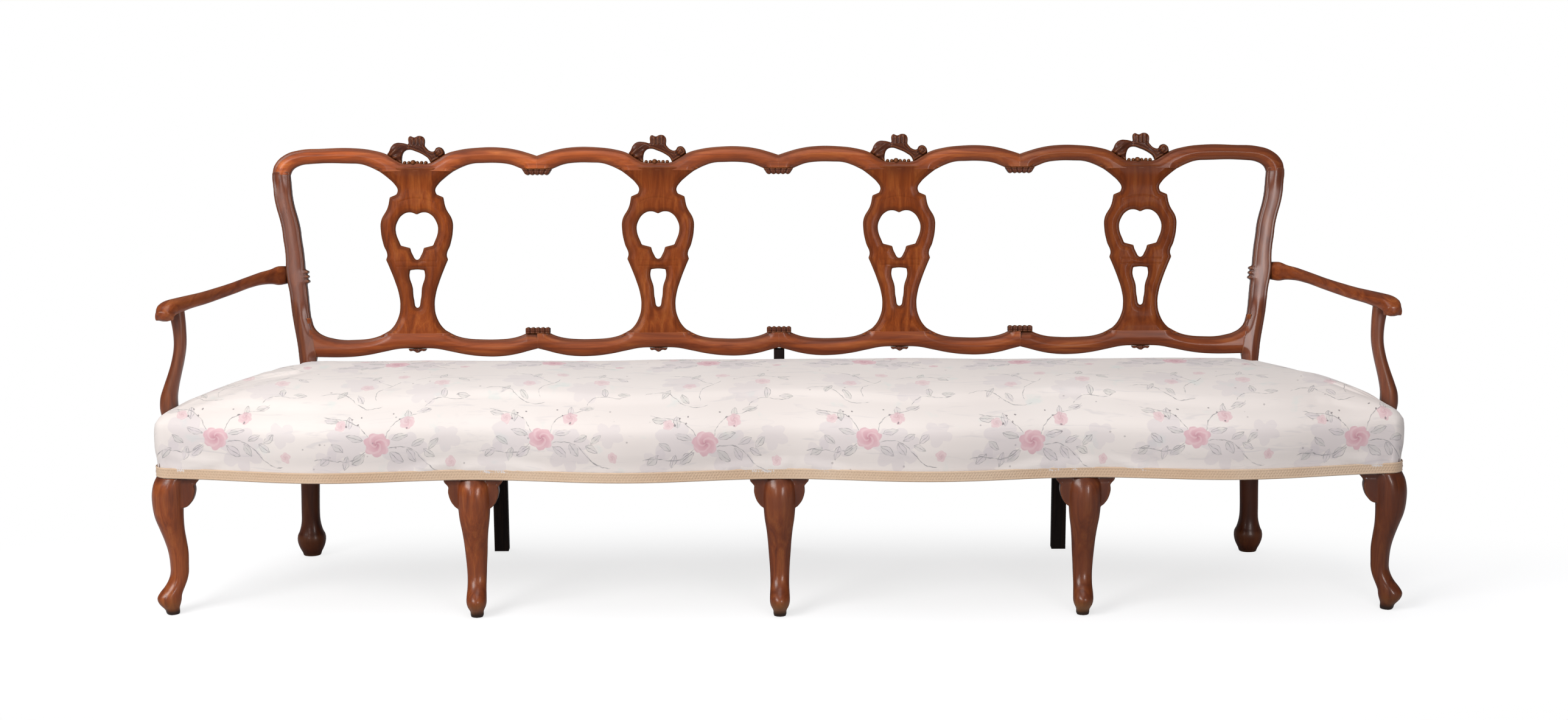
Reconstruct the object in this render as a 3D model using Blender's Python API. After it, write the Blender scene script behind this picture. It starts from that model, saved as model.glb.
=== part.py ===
# Chair-back settee: a walnut frame of joined chair backs on cabriole legs, with a stuffed-over seat.
# Metres, +Z up, the front faces -Y. Each piece of the settee is one object.

import math

import bmesh
import bpy
from mathutils import Vector

for old in list(bpy.data.objects):
    bpy.data.objects.remove(old)

# Fits
FIT = 0.0003                  # gap left between faces that touch
TENON_FIT = 0.0003            # clearance round a tenon in its mortise
PEG_REACH = 0.006             # how far a tenon is let into its own piece

# Seat frame (depths count back from the line of the inner front feet)
INNER_LEG_X = 0.637           # middle of the inner legs from the middle leg
CORNER_OUT = 0.2135           # middle of the corner leg heads outside the posts
CORNER_HEAD = 0.044           # square head of a corner leg
LEG_HEIGHT = 0.300            # floor to the underside of the seat rails
RAIL_HEIGHT = 0.060
RAIL_THICK = 0.032
RAIL_FRONT = -0.004           # front face of the front rail at the legs
FRONT_BOW = 0.032             # swell of the front rail in each bay
CORNER_SETBACK = 0.024        # the front rail falls back by this at the corners
SIDE_BOW = 0.014              # swell of the side rails
SIDE_FLARE = 0.028            # side rail's outer face past the post's middle
SEAT_DEPTH = 0.482            # foot line to the middle of the back posts
BAY_STEPS = 6                 # flats of the front rail in each bay
SIDE_STEPS = 5                # flats of a side rail
CROSS_WIDTH = 0.030
CROSS_HEIGHT = 0.044
CROSS_DROP = 0.010            # cross rails lie this far under the rail tops
CROSS_TENON = 0.008           # stops short of the leg tenons in the front rail
BLOCK_REACH = 0.060           # corner blocks run this far along the rails
BLOCK_HEIGHT = 0.040
RAIL_TENON = 0.014            # length of the seat rail tenons
RAIL_TENON_WIDTH = 0.012
RAIL_TENON_HEIGHT = 0.036

# Back posts
POST_OUT = 0.24725            # middle of a post at the seat, outside the end splat's middle
POST_WIDTH = 0.044
POST_DEPTH = 0.030
POST_FLARE = 0.056            # the posts lean out by this at the top
PAD_RADIUS = 0.032            # pad foot of a rear leg
PAD_HEIGHT = 0.040
ANKLE_RADIUS = 0.0205
ANKLE_HEIGHT = 0.095
REAR_BASE_RADIUS = 0.019
REAR_FOOT_OUT = 0.006         # rear feet stand this far outside the posts
POST_STEPS = 14               # flats up a post

# Chair backs, heights measured up the raked plane from the seat rail tops
CHAIRS = 4
CHAIR_PITCH = 0.5425
BACK_RAKE = math.radians(10.0)
BACK_HEIGHT = 0.5663          # crown of the top rail's lobes
TOP_RAIL_DEPTH = 0.0342
TOP_NOTCH = 0.0192            # notch in its upper edge between two chair backs
RAIL_DIP = 0.0338             # dip of its upper edge over a splat
TOP_CLASP_DROP = 0.0146       # its lower edge at a clasp, under the lobes
BOTTOM_RAIL_UP = 0.0971       # lowest line of the bottom rail
BOTTOM_RAIL_DEPTH = 0.0383
LOW_NOTCH = 0.0178            # notch in its lower edge between two chair backs
SPLAT_NOTCH = 0.0184          # notch in its lower edge under a splat
LOW_CLASP_RISE = 0.0136       # its upper edge at a clasp, over the lobes
POST_SWEEP = 0.0440           # its upper edge sweeps up by this at a post
BACK_BOARD = 0.026            # thickness of the rails
BACK_EDGE = 0.005             # rounding of the rails' edges
SPLAT_BOARD = 0.015
HEAD_HALF = 0.0815            # splat's half width at the top rail
FOOT_HALF = 0.0726            # splat's half width at the bottom rail
HEAD_DROP = 0.0192            # splat's top joint under the top rail's lobes
FOOT_RISE = 0.0150            # splat's bottom joint over the bottom rail's lobes
NECK_HALF = 0.0418            # splat's neck under its head
NECK_DROP = 0.0410
RING_DROP = 0.130             # middle of the ring under the splat's top joint
RING_HALF = 0.0808            # outside of the ring
HOLE_HALF = 0.0480            # hole in the ring
HOLE_RISE = 0.0389            # top of the hole over its middle
HOLE_DROP = 0.0677            # tip of the hole under its middle
UPPER_EAR_HALF = 0.0562       # carved points over the ring
UPPER_EAR_RISE = 0.0710
LOWER_EAR_HALF = 0.0655       # carved points under the ring
LOWER_EAR_DROP = 0.0684
WAIST_HALF = 0.0384           # narrowest place over the splat's foot
SLOT_HALF = 0.0178
SHOULDER_DROP = 0.0603        # top rail's joint with a post, under the crown
SPLAT_TENON_WIDTH = 0.060
SPLAT_TENON_DEPTH = 0.007
SPLAT_TENON_LENGTH = 0.008
TONGUE_HEIGHT = 0.014         # tongues between neighbouring rail lengths
TONGUE_DEPTH = 0.008
TONGUE_LENGTH = 0.012
TOP_TONGUE_DROP = 0.0150      # tongue's middle under the top notch
LOW_TONGUE_RISE = 0.0162      # tongue's middle over the low notch
POST_TENON = 0.016            # tenons of posts, bottom rails and arms
POST_TENON_WIDTH = 0.020
POST_TENON_DEPTH = 0.010

# Carved trim
CREST_HALF = 0.0640
CREST_HEIGHT = 0.0610         # over the dip of the top rail
CREST_BOARD = 0.022
CREST_EDGE = 0.003
CLASP_BOARD = 0.030
CLASP_HEIGHT = 0.0108
CLASP_BASE_HALF = 0.0335      # where a top clasp meets its rail
CLASP_TIP_HALF = 0.0265
CLASP_LOBES = 5
CLASP_NICK = 0.0022
LOW_CLASP_HALF = 0.0275
DROP_HALF = 0.020
DROP_HEIGHT = 0.0095
DROP_BOARD = 0.024
DROP_EDGE = 0.0015

# Arms
ARM_RISE = 0.278              # middle of an arm's root over the rail tops
ARM_ROOT_HALF = 0.0190        # half height at the root
ARM_WAIST_HALF = 0.0135       # half height at mid length
ARM_HAND_HALF = 0.0190        # half height of the scrolled hand
ARM_HALF_WIDTH = 0.0140
ARM_BOW = 0.038               # the arm swings out of its straight line by this
ARM_TENON_FORWARD = 0.005     # its tenon lies this far in front of the post's middle
HAND_HALF_WIDTH = 0.0210
HAND_IN = 0.0015              # middle of the hand inside the corner leg's
HAND_BACK = 0.058             # hand behind the foot line
HAND_RISE = 0.012             # hand's middle over the middle of the arm's root
HAND_LIFT = 0.0048            # the arm arches over the hand's middle by this
SUPPORT_FOOT_UP = 0.025       # lower end of an arm support over the rails' underside
SUPPORT_BACK = 0.084          # its foot behind the foot line
SUPPORT_HALF = 0.0135         # half thickness at the foot
SUPPORT_SWELL = 0.0185        # half thickness at the bulge
SUPPORT_NECK = 0.0140         # half thickness under the arm
SUPPORT_TOP_IN = 0.017        # its top inside the middle of the hand
SUPPORT_TOP_BACK = 0.100
SUPPORT_BULGE = 0.003         # its S curve
SUPPORT_SINK = 0.004          # its shoulder stops this far under the hand's middle

# Front legs
KNEE_BACK = 0.007             # knee's middle behind the foot line
KNEE_HALF = 0.033
KNEE_DROP = 0.060             # knee under the seat rails
FRONT_ANKLE = 0.0180
FRONT_ANKLE_HEIGHT = 0.095
FRONT_TOE = 0.0240
FRONT_TOE_HEIGHT = 0.037
FRONT_BASE = 0.0120
ANKLE_SET = 0.018             # ankle's middle behind the knee's
TOE_SET = 0.008               # toe's middle in front of the knee's
CORNER_TURN = math.radians(52.0)
CORNER_KNEE_OUT = 0.007       # knee outside the middle of the leg's head
CORNER_KNEE_BACK = 0.036
EAR_REACH = 0.061             # brackets' reach from the leg's middle
EAR_HEIGHT = 0.075
EAR_BOARD = 0.024
EAR_EDGE = 0.002
LEG_TENON = 0.022             # square tenon of an inner leg
LEG_TENON_HEIGHT = 0.030

# Rear stakes
STAKE_WIDTH = 0.032
STAKE_DEPTH = 0.026
STAKE_LAP = 0.046             # height that a stake laps up the rear rail
PROP_WIDTH = 0.024            # the centre stake above the seat
PROP_FOOT_DEPTH = 0.022
PROP_HEAD_DEPTH = 0.018
PROP_SET_BACK = 0.004         # its head behind the middle of the rail
PROP_SHORT = 0.004            # its head under the rail's notch

# Upholstery
WEB_WIDTH = 0.050
WEB_THICK = 0.0016
WEB_CROSS = 12                # strips from front to back
WEB_LONG = 3                  # strips from end to end
WEB_LAP = 0.012               # strips stop this far inside the rails' outer edges
CLOTH_THICK = 0.0014
COVER_THICK = 0.0030
EDGE_RISE = 0.051             # crease of the seat's front edge over the rail tops
CROWN_RISE = 0.067            # top of the seat's crown over that crease
COVER_SWELL = 0.004           # walls of the seat swell out by this
REAR_FALL = 0.011             # the crown is lower by this at the back edge
CROWN_END = 0.270             # the crown dies away over this length at each end
CORNER_ROUND = 0.026
CORNER_SWEEP = 72.0           # degrees of rounding at a front corner
CORNER_STEPS = 3
BACK_STEPS = 3                # flats of half the cover's back edge
CROWN_SHARE = 0.75            # share of the way in to the crown's line where the crown is flat
CLOTH_INSET = 0.004           # base cloth inside the cover
POST_GAP = 0.0020             # cover stays clear of the posts by this
BRAID_HEIGHT = 0.017
BRAID_THICK = 0.0026

# Worked-out places
END_SPLAT_X = CHAIR_PITCH * (CHAIRS - 1) / 2
POST_X = END_SPLAT_X + POST_OUT
CORNER_LEG_X = POST_X + CORNER_OUT
CORNER_KNEE_X = CORNER_LEG_X + CORNER_KNEE_OUT
HAND_X = CORNER_LEG_X - HAND_IN
SUPPORT_TOP_X = HAND_X - SUPPORT_TOP_IN
SEAT_Z = LEG_HEIGHT + RAIL_HEIGHT
KNEE_HEIGHT = LEG_HEIGHT - KNEE_DROP
EDGE_HEIGHT = SEAT_Z + EDGE_RISE
CROWN_HEIGHT = EDGE_HEIGHT + CROWN_RISE
ARM_HEIGHT = SEAT_Z + ARM_RISE
SUPPORT_FOOT = LEG_HEIGHT + SUPPORT_FOOT_UP
COVER_SKIN = COVER_THICK + FIT
FRONT_REACH = RAIL_FRONT - FRONT_BOW - COVER_SKIN - COVER_SWELL
CREST_UP = BACK_HEIGHT - RAIL_DIP
CREST_TOP_UP = CREST_UP + CREST_HEIGHT
BACK_REACH = SEAT_DEPTH + CREST_TOP_UP * math.sin(BACK_RAKE) + CREST_BOARD / 2 * math.cos(BACK_RAKE)
FOOT_LINE_Y = -(FRONT_REACH + BACK_REACH) / 2
BACK_Y = FOOT_LINE_Y + SEAT_DEPTH
POST_FRONT_Y = BACK_Y - POST_DEPTH / 2
POST_REAR_Y = BACK_Y + POST_DEPTH / 2
POST_INNER_X = POST_X - POST_WIDTH / 2
HALF_CHAIR = CHAIR_PITCH / 2
HEAD_UP = BACK_HEIGHT - TOP_RAIL_DEPTH - HEAD_DROP
FOOT_UP = BOTTOM_RAIL_UP + BOTTOM_RAIL_DEPTH + FOOT_RISE
RING_UP = HEAD_UP - RING_DROP
SHOULDER_UP = BACK_HEIGHT - SHOULDER_DROP
UPPER_EAR_UP = RING_UP + UPPER_EAR_RISE
LOWER_EAR_UP = RING_UP - LOWER_EAR_DROP
ARM_UP = ARM_RISE / math.cos(BACK_RAKE)
HAND_HEIGHT = ARM_HEIGHT + HAND_RISE
TOP_CLASP_UP = BACK_HEIGHT - TOP_RAIL_DEPTH - TOP_CLASP_DROP
LOW_CLASP_UP = BOTTOM_RAIL_UP + BOTTOM_RAIL_DEPTH + LOW_CLASP_RISE
CORNER_FRONT_Y = FOOT_LINE_Y + RAIL_FRONT + CORNER_SETBACK
CORNER_HEAD_Y = CORNER_FRONT_Y + CORNER_HEAD / 2
CORNER_OUTER_X = CORNER_LEG_X + CORNER_HEAD / 2
REAR_RAIL_FRONT_Y = POST_REAR_Y - RAIL_THICK


# Materials

def material(name, colour, roughness, metallic=0.0):
    made = bpy.data.materials.new(name)
    made.use_nodes = True
    shader = made.node_tree.nodes["Principled BSDF"]
    shader.inputs["Base Color"].default_value = (*colour, 1.0)
    shader.inputs["Roughness"].default_value = roughness
    shader.inputs["Metallic"].default_value = metallic
    made.diffuse_color = (*colour, 1.0)
    return made


WALNUT = material("walnut", (0.223, 0.053, 0.014), 0.28)
DARK_WOOD = material("dark_wood", (0.024, 0.011, 0.007), 0.55)
FRAME_WOOD = material("frame_wood", (0.330, 0.190, 0.090), 0.70)
COVER_CLOTH = material("cover_cloth", (0.760, 0.680, 0.620), 0.85)
BRAID_CLOTH = material("braid_cloth", (0.640, 0.480, 0.340), 0.85)
JUTE = material("jute", (0.380, 0.260, 0.140), 0.95)
HAIR = material("hair_stuffing", (0.090, 0.070, 0.055), 0.95)


# Making pieces

def add_piece(name, mesh, skin, parent=None):
    piece = bpy.data.objects.new(name, mesh)
    bpy.context.collection.objects.link(piece)
    mesh.materials.clear()
    mesh.materials.append(skin)
    mesh.shade_smooth()
    mesh.set_sharp_from_angle(angle=math.radians(32.0))
    piece.parent = parent
    return piece


def hide(cutter):
    cutter.hide_render = True
    cutter.display_type = "WIRE"
    return cutter


def combine(piece, other, operation):
    step = piece.modifiers.new(other.name, "BOOLEAN")
    step.operation = operation
    step.solver = "EXACT"
    step.object = other


def join(piece, other):
    combine(piece, other, "UNION")


def cut(piece, other):
    combine(piece, other, "DIFFERENCE")


def box_piece(name, low, high, skin, parent=None):
    shape = bmesh.new()
    bmesh.ops.create_cube(shape, size=1.0)
    low = Vector(low)
    high = Vector(high)
    for vert in shape.verts:
        vert.co = Vector((low[i] + (vert.co[i] + 0.5) * (high[i] - low[i]) for i in range(3)))
    mesh = bpy.data.meshes.new(name)
    shape.to_mesh(mesh)
    shape.free()
    return add_piece(name, mesh, skin, parent)


def tenon(piece, mate, low, high, parent=None):
    """Grow a square tenon on one piece and sink its mortise in the other."""
    slack = Vector((TENON_FIT, TENON_FIT, TENON_FIT))
    peg = hide(box_piece(f"peg_{piece.name}", low, high, WALNUT, parent))
    hole = hide(box_piece(f"mortise_{mate.name}", Vector(low) - slack, Vector(high) + slack, WALNUT, parent))
    join(piece, peg)
    cut(mate, hole)


def board(name, outlines, thickness, edge, skin, parent=None, x=0.0, grow=0.0, steps=3):
    """A flat board cut to closed outlines of (across, up) points; a third value marks a corner point."""
    curve = bpy.data.curves.new(name, "CURVE")
    curve.dimensions = "2D"
    curve.fill_mode = "BOTH"
    curve.resolution_u = steps
    curve.bevel_depth = edge
    curve.bevel_resolution = 0
    curve.extrude = thickness / 2 - edge
    curve.offset = grow - edge
    for outline in outlines:
        spline = curve.splines.new("BEZIER")
        spline.use_cyclic_u = True
        spline.bezier_points.add(len(outline) - 1)
        for knot, point in zip(spline.bezier_points, outline):
            knot.co = (point[0], point[1], 0.0)
            handle = "VECTOR" if len(point) > 2 else "AUTO"
            knot.handle_left_type = handle
            knot.handle_right_type = handle
    drawn = bpy.data.objects.new(name, curve)
    bpy.context.collection.objects.link(drawn)
    bpy.context.view_layer.update()
    sight = bpy.context.evaluated_depsgraph_get()
    mesh = bpy.data.meshes.new_from_object(drawn.evaluated_get(sight))
    bpy.data.objects.remove(drawn)
    shape = bmesh.new()
    shape.from_mesh(mesh)
    bmesh.ops.remove_doubles(shape, verts=shape.verts, dist=0.00002)
    bmesh.ops.dissolve_degenerate(shape, edges=shape.edges, dist=0.00002)
    bmesh.ops.recalc_face_normals(shape, faces=shape.faces)
    shape.to_mesh(mesh)
    shape.free()
    piece = add_piece(name, mesh, skin, parent)
    piece.location.x = x
    return piece


def mirrored(half):
    """Close a right-hand half outline, drawn from top to bottom, with its left-hand half."""
    left = [(-point[0], *point[1:]) for point in reversed(half) if point[0] > 0.0]
    return half + left


def section(sides, squareness):
    """A ring of (across, through) points from round (2) towards square (higher)."""
    ring = []
    for i in range(sides):
        turn = 2 * math.pi * (i + 0.5) / sides
        c = math.cos(turn)
        s = math.sin(turn)
        across = math.copysign(abs(c) ** (2 / squareness), c)
        through = math.copysign(abs(s) ** (2 / squareness), s)
        ring.append((across, through))
    return ring


def limb(name, stations, ring, skin, parent=None, grow=0.0, split=False):
    """Loft one section through stations of (middle, half across, half through) vectors.

    A limb that bows strongly is split into triangles, so that cuts across it stay clean.
    """
    shape = bmesh.new()
    loops = []
    for middle, across, through in stations:
        wide = across.normalized() * (across.length + grow)
        deep = through.normalized() * (through.length + grow)
        loops.append([shape.verts.new(middle + wide * a + deep * b) for a, b in ring])
    for low, high in zip(loops, loops[1:]):
        for i in range(len(ring)):
            j = (i + 1) % len(ring)
            shape.faces.new((low[i], low[j], high[j], high[i]))
    shape.faces.new(loops[0])
    shape.faces.new(loops[-1])
    bmesh.ops.recalc_face_normals(shape, faces=shape.faces)
    if split:
        bmesh.ops.triangulate(shape, faces=shape.faces)
    mesh = bpy.data.meshes.new(name)
    shape.to_mesh(mesh)
    shape.free()
    return add_piece(name, mesh, skin, parent)


def blend(low, high, share):
    return low + (high - low) * share


# The raked plane that the chair backs lie in

back_plane = bpy.data.objects.new("back_plane", None)
bpy.context.collection.objects.link(back_plane)
back_plane.location = (0.0, BACK_Y, SEAT_Z)
back_plane.rotation_euler = (math.pi / 2 - BACK_RAKE, 0.0, 0.0)


def on_back(x, up):
    return Vector((x, BACK_Y + up * math.sin(BACK_RAKE), SEAT_Z + up * math.cos(BACK_RAKE)))


# Back posts, each one piece with its rear leg

def post_lean(up):
    """How far out a post stands at a height up the back."""
    share = up / SHOULDER_UP
    bends = [(0.00, 0.0), (0.20, 0.0), (0.42, 0.29), (0.63, 0.47), (0.76, 0.62), (0.90, 0.92), (1.00, 1.0)]
    for (s0, lean0), (s1, lean1) in zip(bends, bends[1:]):
        if share <= s1:
            t = max(0.0, (share - s0) / (s1 - s0))
            return POST_FLARE * blend(lean0, lean1, t * t * (3 - 2 * t) * 0.4 + t * 0.6)
    return POST_FLARE


def post_stations(side):
    half_w = POST_WIDTH / 2
    half_d = POST_DEPTH / 2
    x = POST_X + REAR_FOOT_OUT
    under_pad = blend(REAR_BASE_RADIUS, PAD_RADIUS, 0.6)
    over_pad = blend(PAD_RADIUS, ANKLE_RADIUS, 0.7)
    rows = [
        (0.0, x, REAR_BASE_RADIUS, REAR_BASE_RADIUS),
        (PAD_HEIGHT * 0.45, x, under_pad, under_pad),
        (PAD_HEIGHT, x, PAD_RADIUS, PAD_RADIUS),
        (blend(PAD_HEIGHT, ANKLE_HEIGHT, 0.35), x, over_pad, over_pad),
        (ANKLE_HEIGHT, x, ANKLE_RADIUS, ANKLE_RADIUS),
        (blend(ANKLE_HEIGHT, LEG_HEIGHT, 0.5), blend(x, POST_X, 0.5),
         blend(ANKLE_RADIUS, half_w, 0.6), blend(ANKLE_RADIUS, half_d, 0.6)),
        (LEG_HEIGHT, POST_X, half_w, half_d),
        (SEAT_Z, POST_X, half_w, half_d),
    ]
    stations = []
    for z, at, wide, deep in rows:
        stations.append((Vector((side * at, BACK_Y, z)), Vector((wide, 0, 0)), Vector((0, deep, 0))))
    through = Vector((0.0, math.cos(BACK_RAKE), -math.sin(BACK_RAKE))) * half_d
    for i in range(1, POST_STEPS + 1):
        up = SHOULDER_UP * i / POST_STEPS
        stations.append((on_back(side * (POST_X + post_lean(up)), up), Vector((half_w, 0, 0)), through))
    return stations


POST_RING = section(8, 5.0)
posts = {}
post_cutters = {}
for side, hand in ((-1, "left"), (1, "right")):
    posts[side] = limb(f"{hand}_back_post", post_stations(side), POST_RING, WALNUT)
    post_cutters[side] = hide(limb(f"{hand}_post_space", post_stations(side), POST_RING, WALNUT, grow=FIT))

# Top rail, one length for each chair back, with the shoulders over the posts

SHOULDER_OUT = POST_X + POST_FLARE + POST_WIDTH / 2 - END_SPLAT_X
SHOULDER_IN = SHOULDER_OUT - POST_WIDTH


def top_rail_half(at_post):
    """Right half of a top rail's outline from its dip, heights from the lobes' crown."""
    lobe = TOP_RAIL_DEPTH
    upper = [
        (0.0, -RAIL_DIP), (0.030, -RAIL_DIP * 1.015), (0.048, -RAIL_DIP * 0.75), (0.066, -RAIL_DIP * 0.42),
        (0.092, -RAIL_DIP * 0.18), (0.140, 0.0),
    ]
    lower = [
        (HEAD_HALF + 0.0685, -lobe), (HEAD_HALF + 0.0435, -lobe - HEAD_DROP * 0.083),
        (HEAD_HALF + 0.0225, -lobe - HEAD_DROP * 0.427), (HEAD_HALF, -lobe - HEAD_DROP, "corner"),
    ]
    if at_post:
        out = SHOULDER_OUT
        inside = SHOULDER_IN
        fall = SHOULDER_DROP - lobe
        ending = [
            (out - 0.110, -SHOULDER_DROP * 0.017), (out - 0.062, -SHOULDER_DROP * 0.066),
            (out - 0.028, -SHOULDER_DROP * 0.25), (out - 0.006, -SHOULDER_DROP * 0.614),
            (out, -SHOULDER_DROP + FIT, "corner"), (inside, -SHOULDER_DROP + FIT, "corner"),
            (inside - 0.005, -lobe - fall * 0.575), (inside - 0.020, -lobe - fall * 0.19),
            (inside - 0.050, -lobe - fall * 0.015),
        ]
    else:
        end = HALF_CHAIR - FIT / 2
        seat = end - CLASP_BASE_HALF
        drop = TOP_CLASP_DROP
        ending = [
            (end - 0.081, 0.0), (end - 0.046, -TOP_NOTCH * 0.276), (end - 0.021, -TOP_NOTCH * 0.64),
            (end, -TOP_NOTCH, "corner"), (end, -lobe - drop, "corner"), (seat, -lobe - drop, "corner"),
            (seat - 0.0095, -lobe - drop * 0.72), (seat - 0.0275, -lobe - drop * 0.26),
            (seat - 0.0565, -lobe),
        ]
    return [(p[0], BACK_HEIGHT + p[1], *p[2:]) for p in upper + ending + lower]


def rail_outline(half, chair):
    """A whole length of rail from its right and left halves, for a chair counted from the left."""
    right = half(chair == CHAIRS - 1)
    left = [(-p[0], *p[1:]) for p in reversed(half(chair == 0)) if p[0] > 0.0]
    return right + left


def back_rail(name, outline, x):
    return board(name, [outline], BACK_BOARD, BACK_EDGE, WALNUT, back_plane, x, steps=2)


def rail_space(name, outline, x):
    """The room that a rail takes, with a fitting gap, for cutting what stands on it."""
    return hide(board(name, [outline], BACK_BOARD * 2, 0.0, WALNUT, back_plane, x, grow=FIT, steps=2))


chair_x = [CHAIR_PITCH * (i - (CHAIRS - 1) / 2) for i in range(CHAIRS)]
top_rails = []
rail_cutters = []
for i, x in enumerate(chair_x):
    outline = rail_outline(top_rail_half, i)
    top_rails.append(back_rail(f"top_rail_{i + 1}", outline, x))
    rail_cutters.append(rail_space(f"top_rail_space_{i + 1}", outline, x))

# Bottom rail of the back, one length for each chair back


def bottom_rail_half(at_post):
    """Right half of a bottom rail's outline from the splat's foot, heights from its lowest line."""
    top = BOTTOM_RAIL_DEPTH
    lower = [
        (0.150, 0.0), (0.110, SPLAT_NOTCH * 0.24), (0.075, SPLAT_NOTCH * 0.62), (0.040, SPLAT_NOTCH * 0.973),
        (0.0, SPLAT_NOTCH),
    ]
    upper = [
        (FOOT_HALF, top + FOOT_RISE, "corner"), (FOOT_HALF + 0.0144, top + FOOT_RISE * 0.547),
        (FOOT_HALF + 0.0354, top + FOOT_RISE * 0.187), (FOOT_HALF + 0.0724, top),
    ]
    if at_post:
        out = POST_X - END_SPLAT_X
        inside = POST_INNER_X - END_SPLAT_X
        ending = [
            (inside - 0.075, top + POST_SWEEP * 0.025), (inside - 0.046, top + POST_SWEEP * 0.186),
            (inside - 0.016, top + POST_SWEEP * 0.489), (inside + 0.004, top + POST_SWEEP, "corner"),
            (out, top + POST_SWEEP, "corner"), (out, 0.0, "corner"),
        ]
    else:
        end = HALF_CHAIR - FIT / 2
        seat = end - LOW_CLASP_HALF
        rise = LOW_CLASP_RISE
        ending = [
            (seat - 0.0625, top), (seat - 0.0305, top + rise * 0.23), (seat - 0.0085, top + rise * 0.70),
            (seat, top + rise, "corner"), (end, top + rise, "corner"), (end, LOW_NOTCH, "corner"),
            (end - 0.021, LOW_NOTCH * 0.70), (end - 0.046, LOW_NOTCH * 0.33),
            (end - 0.081, LOW_NOTCH * 0.022),
        ]
    return [(p[0], BOTTOM_RAIL_UP + p[1], *p[2:]) for p in upper + ending + lower]


bottom_rails = []
low_rail_cutters = []
for i, x in enumerate(chair_x):
    outline = rail_outline(bottom_rail_half, i)
    bottom_rails.append(back_rail(f"bottom_rail_{i + 1}", outline, x))
    low_rail_cutters.append(rail_space(f"bottom_rail_space_{i + 1}", outline, x))
cut(bottom_rails[0], post_cutters[-1])
cut(bottom_rails[-1], post_cutters[1])

# Splats with their pierced ring and slot

def waist(share):
    """Height at a share of the way from the lower ears down to the splat's foot."""
    return blend(LOWER_EAR_UP, FOOT_UP + FIT, share)


def splat_outlines():
    """The splat's edge, the hole in its ring and the slot under it."""
    top = HEAD_UP - FIT
    side = [
        (HEAD_HALF, top, "corner"), (blend(NECK_HALF, HEAD_HALF, 0.55), top - NECK_DROP / 3),
        (blend(NECK_HALF, HEAD_HALF, 0.19), top - NECK_DROP * 2 / 3), (NECK_HALF, top - NECK_DROP),
        (blend(NECK_HALF, UPPER_EAR_HALF, 0.15), UPPER_EAR_UP + 0.0065, "corner"),
        (UPPER_EAR_HALF, UPPER_EAR_UP, "corner"), (RING_HALF * 0.806, RING_UP + UPPER_EAR_RISE * 0.673),
        (RING_HALF * 0.984, RING_UP + UPPER_EAR_RISE * 0.289), (RING_HALF, RING_UP),
        (RING_HALF * 0.925, RING_UP - LOWER_EAR_DROP * 0.5), (LOWER_EAR_HALF * 0.962, LOWER_EAR_UP + 0.0110),
        (LOWER_EAR_HALF, LOWER_EAR_UP, "corner"), (blend(WAIST_HALF, LOWER_EAR_HALF, 0.705), waist(0.13)),
        (blend(WAIST_HALF, LOWER_EAR_HALF, 0.376), waist(0.29)),
        (blend(WAIST_HALF, LOWER_EAR_HALF, 0.10), waist(0.46)), (WAIST_HALF, waist(0.63)),
        (blend(WAIST_HALF, FOOT_HALF, 0.14), waist(0.79)), (blend(WAIST_HALF, FOOT_HALF, 0.60), waist(0.945)),
        (FOOT_HALF, FOOT_UP + FIT, "corner"),
    ]
    ring = [
        (0.0, RING_UP + HOLE_RISE * 0.88, "corner"), (HOLE_HALF * 0.29, RING_UP + HOLE_RISE),
        (HOLE_HALF * 0.625, RING_UP + HOLE_RISE * 0.90), (HOLE_HALF * 0.917, RING_UP + HOLE_RISE * 0.463),
        (HOLE_HALF, RING_UP - HOLE_DROP * 0.02), (HOLE_HALF * 0.77, RING_UP - HOLE_DROP * 0.526, "corner"),
        (HOLE_HALF * 0.33, RING_UP - HOLE_DROP * 0.607, "corner"),
        (HOLE_HALF * 0.23, RING_UP - HOLE_DROP * 0.812), (0.0, RING_UP - HOLE_DROP),
    ]
    slot = [
        (0.0, waist(0.133)), (SLOT_HALF * 0.93, waist(0.143), "corner"), (SLOT_HALF, waist(0.225)),
        (SLOT_HALF * 0.62, waist(0.375)), (SLOT_HALF * 0.45, waist(0.54)), (0.0, waist(0.655)),
    ]
    return [mirrored(side), mirrored(ring), mirrored(slot)]


splats = []
for i, x in enumerate(chair_x):
    splat = board(f"splat_{i + 1}", splat_outlines(), SPLAT_BOARD, 0.0, WALNUT, back_plane, x, steps=2)
    splats.append(splat)
    for rail, joint, reach in ((top_rails[i], HEAD_UP, 1), (bottom_rails[i], FOOT_UP, -1)):
        ends = sorted((joint - reach * PEG_REACH, joint + reach * SPLAT_TENON_LENGTH))
        low = (x - SPLAT_TENON_WIDTH / 2, ends[0], -SPLAT_TENON_DEPTH / 2)
        high = (x + SPLAT_TENON_WIDTH / 2, ends[1], SPLAT_TENON_DEPTH / 2)
        tenon(splat, rail, low, high, back_plane)

# Tongues between the rail lengths, and tenons into the posts

for i in range(CHAIRS - 1):
    x = chair_x[i] + HALF_CHAIR
    high_line = BACK_HEIGHT - TOP_NOTCH - TOP_TONGUE_DROP
    low_line = BOTTOM_RAIL_UP + LOW_NOTCH + LOW_TONGUE_RISE
    for rails, line in ((top_rails, high_line), (bottom_rails, low_line)):
        low = (x - PEG_REACH, line - TONGUE_HEIGHT / 2, -TONGUE_DEPTH / 2)
        high = (x + TONGUE_LENGTH, line + TONGUE_HEIGHT / 2, TONGUE_DEPTH / 2)
        tenon(rails[i], rails[i + 1], low, high, back_plane)

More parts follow.
